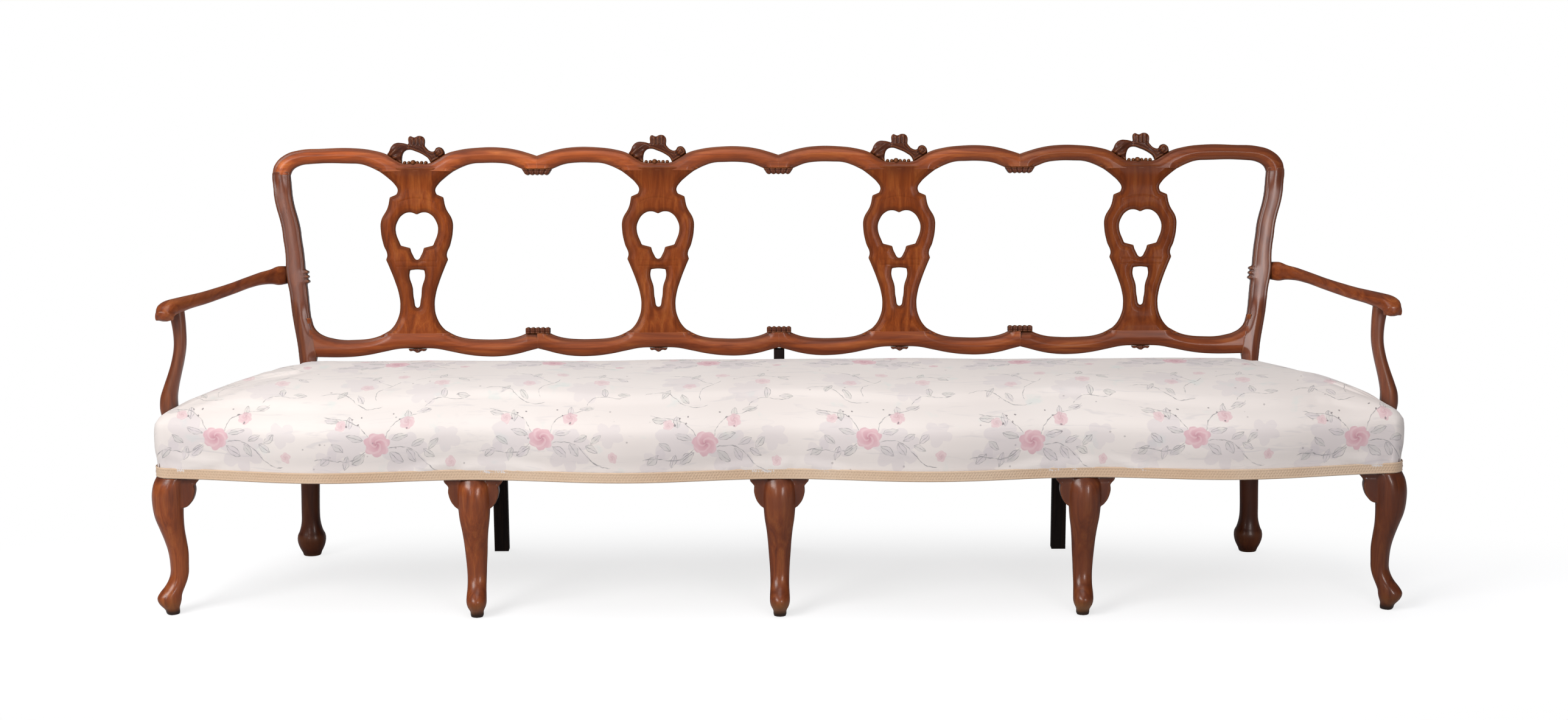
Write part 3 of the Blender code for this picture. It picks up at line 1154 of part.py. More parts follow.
shape = bmesh.new()
outer_low, outer_top = skin_rings(shape, dome_rings(0.0, LEG_HEIGHT + FIT, BASE_Z + FIT))
close_crown(shape, outer_top)
inner_low, inner_top = skin_rings(shape, dome_rings(COVER_THICK, LEG_HEIGHT + FIT, BASE_Z + FIT))
close_crown(shape, inner_top)
for i in range(len(outer_low)):
    j = (i + 1) % len(outer_low)
    shape.faces.new((outer_low[i], outer_low[j], inner_low[j], inner_low[i]))
cover = finish("seat_cover", shape, COVER_CLOTH)
shape = bmesh.new()
rings = dome_rings(COVER_THICK + FIT, BASE_Z, BASE_Z)
low, top = skin_rings(shape, rings[:1] + rings[3:])
close_crown(shape, top)
shape.faces.new(low)
stuffing = finish("seat_stuffing", shape, HAIR)
plan = [(x, y) for x, y, wall in whole_plan(COVER_THICK + CLOTH_INSET)]
cloth_z = SEAT_Z + WEB_THICK + 2 * FIT
base_cloth = prism("base_cloth", plan, cloth_z, cloth_z + CLOTH_THICK, JUTE)

# The upholstery is cut away round each post
post_notches = {}
for side, hand in ((-1, "left"), (1, "right")):
    across = sorted((side * (POST_INNER_X - POST_GAP), side * (POST_X + SIDE_FLARE + POST_WIDTH)))
    low = (across[0], POST_FRONT_Y - POST_GAP, LEG_HEIGHT - RAIL_HEIGHT)
    high = (across[1], POST_REAR_Y + POST_DEPTH, CROWN_HEIGHT + RAIL_HEIGHT)
    post_notches[side] = hide(box_piece(f"{hand}_post_notch", low, high, COVER_CLOTH))
    for piece in (cover, stuffing, base_cloth):
        cut(piece, post_notches[side])
    cut(cover, support_cutters[side])
    cut(stuffing, support_cutters[side])

# Webbing tacked over the rails, a flat net of strips


def webbing():
    front_y = max(front_face(0.0), CORNER_FRONT_Y) + WEB_LAP
    rear_y = POST_REAR_Y - WEB_LAP
    reach = POST_INNER_X - WEB_LAP
    first = -reach + WEB_WIDTH / 2
    gap = 2 * (reach - WEB_WIDTH / 2) / (WEB_CROSS - 1)
    xs = []
    for k in range(WEB_CROSS):
        xs += [first + gap * k - WEB_WIDTH / 2, first + gap * k + WEB_WIDTH / 2]
    ys = [front_y]
    for k in range(WEB_LONG):
        middle = blend(front_y, rear_y, (k + 1) / (WEB_LONG + 1))
        ys += [middle - WEB_WIDTH / 2, middle + WEB_WIDTH / 2]
    ys.append(rear_y)
    shape = bmesh.new()
    verts = {}

    def corner(i, j):
        if (i, j) not in verts:
            y = ys[j]
            if i == -1:
                x = -side_face(y) + WEB_LAP
            elif i == len(xs):
                x = side_face(y) - WEB_LAP
            else:
                x = xs[i]
            verts[i, j] = shape.verts.new((x, y, SEAT_Z + FIT))
        return verts[i, j]

    for i in range(-1, len(xs)):
        for j in range(len(ys) - 1):
            crossing = i >= 0 and i % 2 == 0
            running = j % 2 == 1
            if crossing or running:
                shape.faces.new((corner(i, j), corner(i + 1, j), corner(i + 1, j + 1), corner(i, j + 1)))
    raised = bmesh.ops.extrude_face_region(shape, geom=list(shape.faces))
    for part in raised["geom"]:
        if isinstance(part, bmesh.types.BMVert):
            part.co.z += WEB_THICK
    return finish("webbing", shape, JUTE)


webbing()

# Gimp braid along the foot of the cover, round the front and sides

shape = bmesh.new()
right = [p for p in seat_plan(-FIT) if p[2] != "back"]
line = [(-x, y) for x, y, wall in reversed(right) if x > 1e-6] + [(x, y) for x, y, wall in right]
right = [p for p in seat_plan(-FIT - BRAID_THICK) if p[2] != "back"]
outer_line = [(-x, y) for x, y, wall in reversed(right) if x > 1e-6] + [(x, y) for x, y, wall in right]
low_z = LEG_HEIGHT + FIT
loops = []
for (x0, y0), (x1, y1) in zip(line, outer_line):
    top_z = low_z + BRAID_HEIGHT
    corners = ((x0, y0, low_z), (x1, y1, low_z), (x1, y1, top_z), (x0, y0, top_z))
    loops.append([shape.verts.new(c) for c in corners])
for low, high in zip(loops, loops[1:]):
    for i in range(4):
        j = (i + 1) % 4
        shape.faces.new((low[i], low[j], high[j], high[i]))
shape.faces.new(loops[0])
shape.faces.new(loops[-1])
braid = finish("gimp_braid", shape, BRAID_CLOTH)
for side in (-1, 1):
    cut(braid, post_notches[side])
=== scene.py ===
import math

import bmesh
import bpy
import numpy as np
from mathutils import Matrix, Vector, kdtree


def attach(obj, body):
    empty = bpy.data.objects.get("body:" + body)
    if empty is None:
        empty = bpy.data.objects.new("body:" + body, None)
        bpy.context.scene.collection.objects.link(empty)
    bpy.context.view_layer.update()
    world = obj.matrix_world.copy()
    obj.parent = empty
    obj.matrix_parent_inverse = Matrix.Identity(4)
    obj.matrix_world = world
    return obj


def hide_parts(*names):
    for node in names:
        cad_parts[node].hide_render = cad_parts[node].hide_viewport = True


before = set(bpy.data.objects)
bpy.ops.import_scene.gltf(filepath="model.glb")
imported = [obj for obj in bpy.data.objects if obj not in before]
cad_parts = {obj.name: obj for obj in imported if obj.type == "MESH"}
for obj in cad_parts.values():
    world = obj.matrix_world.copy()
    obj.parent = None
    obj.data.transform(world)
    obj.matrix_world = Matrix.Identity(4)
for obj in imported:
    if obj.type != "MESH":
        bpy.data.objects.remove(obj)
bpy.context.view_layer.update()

# Seat frame
# The hidden frame of bare beech: front, rear, side and cross rails, tenoned together,
# with glued blocks in the corners. It shows only from below, unpolished and a little dusty.


def pick(piece):
    """Make one piece the only selected one, and the active one."""
    bpy.ops.object.select_all(action="DESELECT")
    piece.select_set(True)
    bpy.context.view_layer.objects.active = piece


class Pot:
    """A pot of finish: a material or a world, mixed up out of shader nodes."""

    def __init__(self, made):
        made.use_nodes = True
        self.made = made
        self.tree = made.node_tree
        self.shader = self.tree.nodes.get("Principled BSDF")

    def pour(self, value, socket):
        """Set a socket to a number or a colour, or link another node's socket to it."""
        if isinstance(value, bpy.types.NodeSocket):
            self.tree.links.new(value, socket)
        else:
            socket.default_value = (*value, 1.0) if socket.type == "RGBA" else value

    def add(self, kind, out, inputs=None, **settings):
        """One shader node with its settings and inputs, of which the socket called out is handed back."""
        node = self.tree.nodes.new("ShaderNode" + kind)
        for key, value in settings.items():
            setattr(node, key, value)
        for key, value in (inputs or {}).items():
            self.pour(value, node.inputs[key])
        return node.outputs[out]

    def calc(self, operation, first, second=0.0):
        return self.add("Math", "Value", {0: first, 1: second}, operation=operation)

    def times(self, first, second):
        return self.calc("MULTIPLY", first, second)

    def plus(self, first, second):
        return self.calc("ADD", first, second)

    def minus(self, first, second):
        return self.calc("SUBTRACT", first, second)

    def span(self, value, low, high, to_low=0.0, to_high=1.0, smooth=False):
        """A value's reach from low to high, stretched to another reach."""
        inputs = {"Value": value, "From Min": low, "From Max": high, "To Min": to_low, "To Max": to_high}
        kind = "SMOOTHSTEP" if smooth else "LINEAR"
        return self.add("MapRange", "Result", inputs, interpolation_type=kind)

    def ramp(self, value, steps):
        """Colours over a value, in steps of (place, colour)."""
        colour = self.add("ValToRGB", "Color", {"Fac": value})
        keys = colour.node.color_ramp.elements
        while len(keys) < len(steps):
            keys.new(0.5)
        for key, (place, tint) in zip(keys, steps):
            key.position = place
            key.color = (*tint, 1.0)
        return colour

    def mix(self, share, first, second):
        """A share of the second colour over the first."""
        return self.add("Mix", 2, {0: share, 6: first, 7: second}, data_type="RGBA")

    def place(self):
        return self.add("TexCoord", "Object")

    def split(self, vector):
        """The three numbers of a vector."""
        return list(self.add("SeparateXYZ", "X", {"Vector": vector}).node.outputs)

    def noise(self, place, scale, detail, distortion=0.0, out="Fac"):
        inputs = {"Vector": place, "Scale": scale, "Detail": detail, "Distortion": distortion}
        return self.add("TexNoise", out, inputs)

    def grain(self, scale, detail, distortion=0.0):
        """Noise with its own scale along each axis, in features for each metre."""
        spread = self.add("Mapping", "Vector", {"Vector": self.place(), "Scale": scale})
        return self.noise(spread, 1.0, detail, distortion)

    def wave(self, place, scale, distortion, detail, axis):
        inputs = {"Vector": place, "Scale": scale, "Distortion": distortion, "Detail": detail}
        return self.add("TexWave", "Fac", inputs, bands_direction=axis)

    def dress(self, colour, rough, raised, strength, distance, **others):
        """Pour the colour, roughness, relief and other values into the shader, and hand the finish back."""
        bump = self.add("Bump", "Normal", {"Height": raised, "Strength": strength, "Distance": distance})
        others.update(Base_Color=colour, Roughness=rough, Normal=bump)
        for key, value in others.items():
            self.pour(value, self.shader.inputs[key.replace("_", " ")])
        return self.made


def along_axis(axis, run, across):
    return tuple(run if i == axis else across for i in range(3))


def bare_wood(name, axis):
    """Pale unpolished wood with its grain along one axis."""
    pot = Pot(bpy.data.materials.new(name))
    bands = pot.grain(along_axis(axis, 3.0, 70.0), 4.0, 0.8)
    fibres = pot.grain(along_axis(axis, 12.0, 700.0), 3.0)
    dust = pot.grain((9.0, 9.0, 9.0), 5.0)
    wood = pot.ramp(bands, [
        (0.25, (0.20, 0.105, 0.045)), (0.50, (0.33, 0.19, 0.09)), (0.75, (0.43, 0.27, 0.14))])
    wood = pot.mix(pot.span(fibres, 0.35, 0.65, 0.45, 0.0), wood, (0.16, 0.085, 0.04))
    wood = pot.mix(pot.span(dust, 0.5, 0.8, 0.0, 0.4), wood, (0.24, 0.19, 0.14))
    return pot.dress(wood, pot.span(fibres, 0.3, 0.7, 0.62, 0.85), fibres, 0.35, 0.0006)


beech_across = bare_wood("bare_beech_across", 0)
beech_deep = bare_wood("bare_beech_deep", 1)
frame_pieces = {
    beech_across: ["front_seat_rail", "rear_seat_rail", "left_front_block", "right_front_block",
                   "left_rear_block", "right_rear_block"],
    beech_deep: ["left_side_rail", "right_side_rail", "cross_rail_1", "cross_rail_2", "cross_rail_3"],
}
for wood, names in frame_pieces.items():
    for name in names:
        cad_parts[name].material_slots[0].material = wood

# Rear stakes
# Three square sticks of nearly black wood lapped on the back of the rear rail.
# The middle one runs up behind the seat and props the bottom rail of the back.


def stained_wood(name, axis):
    """Nearly black wood, dull, with scuffed streaks along its grain."""
    pot = Pot(bpy.data.materials.new(name))
    streaks = pot.grain(along_axis(axis, 6.0, 240.0), 4.0, 0.5)
    scuffs = pot.grain((35.0, 35.0, 14.0), 6.0)
    wood = pot.ramp(streaks, [
        (0.30, (0.006, 0.003, 0.003)), (0.55, (0.012, 0.006, 0.005)), (0.80, (0.028, 0.013, 0.009))])
    wood = pot.mix(pot.span(scuffs, 0.62, 0.82, 0.0, 0.5), wood, (0.050, 0.026, 0.016))
    rough = pot.span(scuffs, 0.35, 0.75, 0.60, 0.80)
    return pot.dress(wood, rough, streaks, 0.25, 0.0005, Specular_IOR_Level=0.15)


# The sticks are nearly black all over.
near_black_finish = stained_wood("dark_stained_wood", 2)
for name in ("left_rear_stake", "right_rear_stake", "centre_rear_stake"):
    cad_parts[name].material_slots[0].material = near_black_finish

# Front legs
# Five cabriole legs of polished walnut, each carved from one piece with its stepped brackets:
# a pointed knee, a slim ankle, and a scrolled toe on a small pad. Tenoned up into the front rail.


def polished_walnut(name, axis, tone=1.0, feet=False, polish=0.14, haze=0.16, shine=0.26):
    """Old polished walnut: warm figure along one axis, painted shade at marked places, grime and painted
    shade in hollows, rubbed edges and a soft polish.
    """
    pot = Pot(bpy.data.materials.new(name))
    figure = pot.grain(along_axis(axis, 4.0, 46.0), 5.0, 1.6)
    fibres = pot.grain(along_axis(axis, 16.0, 620.0), 3.0, 0.2)
    clouds = pot.grain((6.0, 6.0, 6.0), 4.0)
    dark, middle, light = (0.185, 0.035, 0.008), (0.345, 0.073, 0.014), (0.500, 0.138, 0.030)
    wood = pot.ramp(figure, [
        (0.28, tuple(c * tone for c in dark)), (0.50, tuple(c * tone for c in middle)),
        (0.74, tuple(c * tone for c in light))])
    wood = pot.mix(pot.span(fibres, 0.36, 0.60, 0.26, 0.0), wood, (0.085, 0.019, 0.007))
    wood = pot.mix(pot.span(clouds, 0.45, 0.75, 0.0, 0.60), wood, (0.150, 0.034, 0.010))
    # Painted shade read from edge_shade: darker along the boards' rounded edges, on the leg brackets, under
    # the seat and below the crests.
    painted_shade_mark = pot.add("Attribute", "Fac", attribute_name="edge_shade")
    wood = pot.mix(pot.times(painted_shade_mark, 0.74), wood, (0.085, 0.018, 0.006))
    # Darker in hollows and where parts meet: partly grime, partly painted shade, as under the braid.
    hollow_grime_and_shade = pot.add("AmbientOcclusion", "AO", {"Distance": 0.020}, samples=6)
    wood = pot.mix(pot.span(hollow_grime_and_shade, 0.30, 0.88, 0.82, 0.0), wood, (0.030, 0.008, 0.004))
    # Darker in creases: partly grime, partly painted shade; paler on rubbed edges, which is wear.
    turned = pot.add("NewGeometry", "Pointiness")
    wood = pot.mix(pot.span(turned, 0.41, 0.495, 0.80, 0.0), wood, (0.026, 0.007, 0.004))
    wood = pot.mix(pot.span(turned, 0.515, 0.60, 0.0, 0.40), wood, (0.600, 0.230, 0.080))
    if feet:
        height = pot.split(pot.place())[2]
        worn = pot.times(pot.span(height, 0.020, 0.044, 1.0, 0.0, smooth=True), pot.span(clouds, 0.38, 0.62))
        wood = pot.mix(pot.times(worn, 0.5), wood, (0.340, 0.150, 0.036))
        wood = pot.mix(pot.span(height, 0.006, 0.016, 0.9, 0.0), wood, (0.012, 0.006, 0.004))
    rough = pot.span(clouds, 0.30, 0.70, 0.32, 0.48)
    return pot.dress(wood, rough, fibres, 0.10, 0.0004, Specular_IOR_Level=shine, Coat_Weight=polish,
                     Coat_Roughness=haze, Coat_IOR=1.45)


def read_points(piece, kind="co"):
    """The place of every vertex of a piece, or its normal, as rows of three numbers."""
    values = np.zeros(len(piece.data.vertices) * 3)
    piece.data.vertices.foreach_get(kind, values)
    return values.reshape(-1, 3)


def write_points(piece, places):
    piece.data.vertices.foreach_set("co", places.ravel())
    piece.data.update()


def face_outward(piece, merge=0.0):
    """Turn every face of a piece outwards, after merging the points that lie closer than merge."""
    pick(piece)
    bpy.ops.object.mode_set(mode="EDIT")
    bpy.ops.mesh.select_all(action="SELECT")
    if merge:
        bpy.ops.mesh.remove_doubles(threshold=merge)
    bpy.ops.mesh.normals_make_consistent(inside=False)
    bpy.ops.object.mode_set(mode="OBJECT")


def apply_step(piece, kind, **settings):
    """Add one modifier to a piece and apply it."""
    pick(piece)
    step = piece.modifiers.new(kind.lower(), kind)
    for key, value in settings.items():
        setattr(step, key, value)
    bpy.ops.object.modifier_apply(modifier=step.name)


def even_points(rows, count):
    """Rows of numbers eased into a smooth run of more rows; the first number of each row orders them."""
    rows = np.array(rows, float)
    at = rows[:, 0]
    gaps = np.diff(at)
    slopes = np.diff(rows, axis=0) / gaps[:, None]
    ends = np.vstack([slopes[:1], (slopes[1:] * gaps[:-1, None] + slopes[:-1] * gaps[1:, None])
                      / (gaps[1:] + gaps[:-1])[:, None], slopes[-1:]])
    turning = np.vstack([np.zeros((1, rows.shape[1]), bool), slopes[1:] * slopes[:-1] < 0,
                         np.zeros((1, rows.shape[1]), bool)])
    ends[turning] = 0.0
    wanted = np.linspace(at[0], at[-1], count)
    k = np.clip(np.searchsorted(at, wanted, side="right") - 1, 0, len(at) - 2)
    t = ((wanted - at[k]) / gaps[k])[:, None]
    g = gaps[k][:, None]
    return (rows[k] * (1 + 2 * t) * (1 - t) ** 2 + ends[k] * g * t * (1 - t) ** 2
            + rows[k + 1] * t * t * (3 - 2 * t) + ends[k + 1] * g * t * t * (t - 1))


def rounded_place(vert):
    return tuple(round(c, 6) for c in vert.co)


def draw_limb(name, rings, fill="NGON", close=None):
    """A limb or a cloth drawn out of a circle: extruded once for each ring, each ring laid on its points."""
    bpy.ops.object.select_all(action="DESELECT")
    bpy.ops.mesh.primitive_circle_add(vertices=len(rings[0]), radius=1.0, fill_type=fill)
    limb = bpy.context.object
    limb.name = name
    bpy.ops.object.mode_set(mode="EDIT")
    newest = list(bmesh.from_edit_mesh(limb.data).verts)
    order = range(len(newest))
    for k, ring in enumerate(rings):
        if k > 0:
            bpy.ops.mesh.extrude_region_move()
            newest = [v for v in bmesh.from_edit_mesh(limb.data).verts if v.select]
            order = [before[rounded_place(v)] for v in newest]
        before = {}
        for vert, i in zip(newest, order):
            vert.co = ring[i]
            before[rounded_place(vert)] = i
    if close:
        shape = bmesh.from_edit_mesh(limb.data)
        last = {before[rounded_place(v)]: v for v in shape.verts if v.select}
        close(shape, [last[i] for i in range(len(last))])
        bmesh.update_edit_mesh(limb.data)
    bpy.ops.mesh.select_all(action="SELECT")
    bpy.ops.mesh.normals_make_consistent(inside=False)
    bpy.ops.object.mode_set(mode="OBJECT")
    return limb


def squared_ring(count, squareness):
    """Angles and unit points of a ring between round (2) and square (higher)."""
    turns = 2 * np.pi * (np.arange(count) + 0.5) / count
    c, s = np.cos(turns), np.sin(turns)
    return turns, np.sign(c) * np.abs(c) ** (2 / squareness), np.sign(s) * np.abs(s) ** (2 / squareness)


def ridge_over(turns, middle, half):
    """One on a ridge at one angle of a ring, falling to nothing at half an angle to each side."""
    off = np.abs((turns - middle + np.pi) % (2 * np.pi) - np.pi)
    return np.clip(1 - off / half, 0.0, 1.0)


def draw_outline(name, outlines, thickness):
    """A flat board from drawn outlines of (x, y) points, where a third word marks a corner."""
    curve = bpy.data.curves.new(name, "CURVE")
    curve.dimensions = "2D"
    curve.fill_mode = "BOTH"
    curve.resolution_u = 10
    curve.extrude = thickness / 2
    for outline in outlines:
        spline = curve.splines.new("BEZIER")
        spline.use_cyclic_u = True
        spline.bezier_points.add(len(outline) - 1)
        for knot, point in zip(spline.bezier_points, outline):
            knot.co = (point[0], point[1], 0.0)
            handle = "VECTOR" if len(point) > 2 else "AUTO"
            knot.handle_left_type = handle
            knot.handle_right_type = handle
    drawn = bpy.data.objects.new(name, curve)
    bpy.context.collection.objects.link(drawn)
    pick(drawn)
    bpy.ops.object.convert(target="MESH")
    face_outward(bpy.context.object, merge=0.00001)
    return bpy.context.object


def edge_finder(board, is_joint, beside, spacing=0.0007):
    """A search tree over a board's edges, without its joints but with the edges that run on beside them."""
    shape = bmesh.new()
    shape.from_mesh(board.data)
    points = [Vector((x, y, 0.0)) for x, y in beside]
    for edge in shape.edges:
        a, b = (v.co for v in edge.verts)
        on_front = a.z > 0 and b.z > 0
        on_wall = any(abs(face.normal.z) < 0.5 for face in edge.link_faces)
        if on_front and on_wall and not is_joint((a.x + b.x) / 2, (a.y + b.y) / 2):
            steps = max(1, int((a - b).length / spacing))
            points += [a.lerp(b, k / steps) for k in range(steps)]
    shape.free()
    tree = kdtree.KDTree(len(points))
    for i, point in enumerate(points):
        tree.insert((point.x, point.y, 0.0), i)
    tree.balance()
    return tree


SHADE_FULL = 0.0025
SHADE_ENDS = 0.0120


def mark_shade(piece, values):
    """Mark where painted shade darkens the wood, for the finish to read."""
    shade = piece.data.attributes.new("edge_shade", "FLOAT", "POINT")
    shade.data.foreach_set("value", values)


def carve_board(board, thickness, front, back, voxel, is_joint=lambda x, y: False, smoothing=3, beside=(),
                stain=lambda x, y: 0.0):
    """Carve a flat board: front and back give the half thickness at (x, y, distance from the edge)."""
    tree = edge_finder(board, is_joint, beside)
    apply_step(board, "REMESH", mode="VOXEL", voxel_size=voxel)
    apply_step(board, "SMOOTH", factor=0.5, iterations=smoothing)
    places = read_points(board)
    away = np.array([tree.find((p[0], p[1], 0.0))[2] for p in places])
    share = places[:, 2] / (thickness / 2)
    x, y = places[:, 0], places[:, 1]
    places[:, 2] = np.where(share > 0, share * front(x, y, away), share * back(x, y, away))
    write_points(board, places)
    # Painted shade along the outline's edges, and any painted shade passed in.
    mark_shade(board, np.maximum(1 - smooth_between(away, SHADE_FULL, SHADE_ENDS), stain(x, y)))
    return board


def rounded(away, half, radius):
    """Half thickness of a board whose edge is rounded over."""
    near = np.clip(radius - away, 0.0, radius)
    return half - radius + np.sqrt(np.maximum(radius ** 2 - near ** 2, 0.0))


def groove(away, at, width, depth):
    return depth * np.exp(-((away - at) / width) ** 2)


def smooth_between(value, low, high):
    t = np.clip((value - low) / (high - low), 0.0, 1.0)
    return t * t * (3 - 2 * t)


def add_block(add, scale=(1.0, 1.0, 1.0), **settings):
    """A plain shape to start a piece from, with its place and size settled in its mesh."""
    bpy.ops.object.select_all(action="DESELECT")
    add(**settings)
    bpy.context.object.scale = scale
    bpy.ops.object.transform_apply(location=True, rotation=True, scale=True)
    return bpy.context.object


def join_pieces(pieces, name):
    bpy.ops.object.select_all(action="DESELECT")
    for piece in pieces:
        piece.select_set(True)
    bpy.context.view_layer.objects.active = pieces[0]
    bpy.ops.object.join()
    pieces[0].name = name
    return pieces[0]


def copy_piece(piece, name, matrix=None, mirrored=False):
    """A copy with its own mesh, moved in its mesh."""
    pick(piece)
    bpy.ops.object.duplicate()
    made = bpy.context.object
    made.name = name
    if matrix is not None:
        made.data.transform(matrix)
    if mirrored:
        made.data.flip_normals()
    made.data.update()
    return made


def hand_over(piece, finish, slot, *nodes):
    """Give a finished piece its material and its place in the frame, and hide the nodes that it stands for.
    """
    piece.data.materials.clear()
    piece.data.materials.append(finish)
    pick(piece)
    bpy.ops.object.shade_smooth()
    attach(piece, "root")
    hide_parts(*nodes)
    return piece


FOOT_LINE_Y = -0.2763
SEAT_UNDER = 0.2997
LEG_VOXEL = 0.0017
# height, set back from the knee, half width, half depth, ridge on the front
LEG_ROWS = [
    (0.0000, -0.0020, 0.0128, 0.0128, 0.0000), (0.0070, -0.0026, 0.0142, 0.0146, 0.0000),
    (0.0110, -0.0036, 0.0134, 0.0146, 0.0004), (0.0150, -0.0050, 0.0150, 0.0166, 0.0010),
    (0.0240, -0.0072, 0.0192, 0.0214, 0.0020), (0.0370, -0.0080, 0.0212, 0.0246, 0.0030),
    (0.0480, -0.0030, 0.0208, 0.0230, 0.0030), (0.0600, 0.0060, 0.0200, 0.0200, 0.0022),
    (0.0750, 0.0140, 0.0200, 0.0182, 0.0014), (0.0950, 0.0180, 0.0207, 0.0176, 0.0012),
    (0.1360, 0.0166, 0.0234, 0.0194, 0.0016), (0.1600, 0.0119, 0.0250, 0.0210, 0.0022),
    (0.1850, 0.0061, 0.0275, 0.0234, 0.0030), (0.2110, 0.0014, 0.0312, 0.0270, 0.0040),
    (0.2400, 0.0000, 0.0335, 0.0296, 0.0044), (0.2660, 0.0010, 0.0342, 0.0302, 0.0040),
    (0.2850, 0.0052, 0.0340, 0.0296, 0.0034), (SEAT_UNDER, 0.0120, 0.0330, 0.0282, 0.0026),
]
EAR_HALF = 0.061
EAR_HEIGHT = 0.066
EAR_BOARD = 0.024
# share of the reach, share of the height down from the seat
EAR_SHARES = [
    (1.00, 0.00, "corner"), (1.00, 0.10), (0.91, 0.20), (0.85, 0.27, "corner"), (0.87, 0.42), (0.83, 0.62),
    (0.77, 0.76, "corner"), (0.71, 0.84), (0.58, 0.96), (0.45, 1.00),
]


def leg_rings(knee, turn):
    turns, across, deep = squared_ring(36, 2.4)
    facing = Vector((math.sin(turn), -math.cos(turn), 0.0))
    side = Vector((math.cos(turn), math.sin(turn), 0.0))
    ridge = ridge_over(turns, np.pi / 2, 0.62)
    rings = []
    for z, back, wide, thick, lift in even_points(LEG_ROWS, 64):
        middle = knee - facing * back + Vector((0, 0, z))
        rings.append([middle + side * (wide * a) + facing * (thick * b + lift * r)
                      for a, b, r in zip(across, deep, ridge)])
    return rings


def ear_board(name, reach_left, reach_right):
    """Stepped scroll bracket, its top at the seat and its scroll marked by a cut line."""
    top = SEAT_UNDER
    right = [(reach_right * p[0], top - EAR_HEIGHT * p[1], *p[2:]) for p in EAR_SHARES]
    left = [(-p[0] / reach_right * reach_left, *p[1:]) for p in reversed(right)]
    board = draw_outline(name, [right + left], EAR_BOARD)

    def carved(x, y, away):
        band = groove(top - y, 0.0105, 0.0013, 0.0016)
        return rounded(away, EAR_BOARD / 2, 0.0035) - groove(away, 0.0068, 0.0012, 0.0012) - band

    def plain(x, y, away):
        return rounded(away, EAR_BOARD / 2, 0.0025)

    return carve_board(board, EAR_BOARD, carved, plain, LEG_VOXEL, lambda x, y: y > top - 0.0005)


def stand_board(board, place, turn):
    """Stand a flat board upright in its mesh, its front turned to face out of the seat."""
    board.data.transform(Matrix.Translation(place) @ Matrix.Rotation(turn, 4, "Z")
                         @ Matrix.Rotation(math.pi / 2, 4, "X"))
    return board


def fuse(pieces, name, voxel, smoothing=4):
    """Fuse overlapping pieces into one carved body."""
    body = join_pieces(pieces, name)
    apply_step(body, "REMESH", mode="VOXEL", voxel_size=voxel)
    apply_step(body, "SMOOTH", factor=0.5, iterations=smoothing)
    return body


def shade_brackets(leg, knee_x, knee_y):
    """Mark painted shade on the brackets beside a knee and along the line under the seat, for the finish to
    darken.
    """
    x, y, z = read_points(leg).T
    from_knee = np.hypot(x - knee_x, y - knee_y)
    beside = smooth_between(from_knee, 0.0310, 0.0400) * smooth_between(z, 0.195, 0.215)
    under = 0.8 * smooth_between(z, SEAT_UNDER - 0.016, SEAT_UNDER - 0.003)
    mark_shade(leg, np.maximum(beside, under))


def walnut_row(name, axis, tones, **finish):
    """A finish for each piece of a row, each in its own tone; the rows pass tones that fall from left to
    right, which is painted light and shade.
    """
    return [polished_walnut(f"{name}_{i + 1}", axis, tone, **finish) for i, tone in enumerate(tones)]


# Each leg darker than the one to its left: painted shade, with the light falling from the left.
LEG_LIT_TO_SHADED = (0.82, 0.74, 0.60, 0.46, 0.35)
walnut_legs = walnut_row("walnut_leg", 2, LEG_LIT_TO_SHADED, feet=True, polish=0.5, haze=0.20)
RAIL_FRONT_Y = FOOT_LINE_Y - 0.004
KNEE_Y = FOOT_LINE_Y + 0.007
INNER_LEG_X = 0.637
INNER_LEG_BACK = 0.0015
inner_leg = draw_limb("middle_leg", leg_rings(Vector((0.0, KNEE_Y, 0.0)), 0.0))
inner_ears = stand_board(ear_board("middle_ears", EAR_HALF, EAR_HALF),
                         Vector((0.0, RAIL_FRONT_Y + EAR_BOARD / 2, 0)), 0.0)
inner_leg = fuse([inner_leg, inner_ears], "front_leg_middle", LEG_VOXEL)
shade_brackets(inner_leg, 0.0, KNEE_Y)
left_leg = copy_piece(inner_leg, "front_leg_left", Matrix.Translation((-INNER_LEG_X, INNER_LEG_BACK, 0.0)))
right_leg = copy_piece(inner_leg, "front_leg_right", Matrix.Translation((INNER_LEG_X, INNER_LEG_BACK, 0.0)))

# The corner legs turn outwards and carry a square head inside the seat's corner.
CORNER_TURN = math.radians(52.0)
CORNER_LEG_X = 1.2745
CORNER_FRONT_Y = FOOT_LINE_Y + 0.020
CORNER_HEAD = 0.044
CORNER_KNEE = Vector((1.2815, FOOT_LINE_Y + 0.036, 0.0))
HEAD_SIDE = CORNER_HEAD - 0.002
HEAD_TALL = 0.066
HEAD_MIDDLE_Z = 0.327
SIDE_EAR_TURN = math.radians(67.0)
SHORT_EAR = EAR_HALF * 0.2
corner_leg = draw_limb("corner_leg", leg_rings(CORNER_KNEE, CORNER_TURN))
front_ear = stand_board(ear_board("front_ear", EAR_HALF, SHORT_EAR),
                        Vector((CORNER_LEG_X, CORNER_FRONT_Y + EAR_BOARD / 2, 0)), 0.0)
side_inward = Vector((-math.sin(SIDE_EAR_TURN), math.cos(SIDE_EAR_TURN), 0.0))
side_ear = stand_board(ear_board("side_ear", SHORT_EAR, EAR_HALF),
                       Vector((CORNER_LEG_X + CORNER_HEAD / 2, CORNER_FRONT_Y + CORNER_HEAD / 2, 0))
                       + side_inward * EAR_BOARD / 2, SIDE_EAR_TURN)
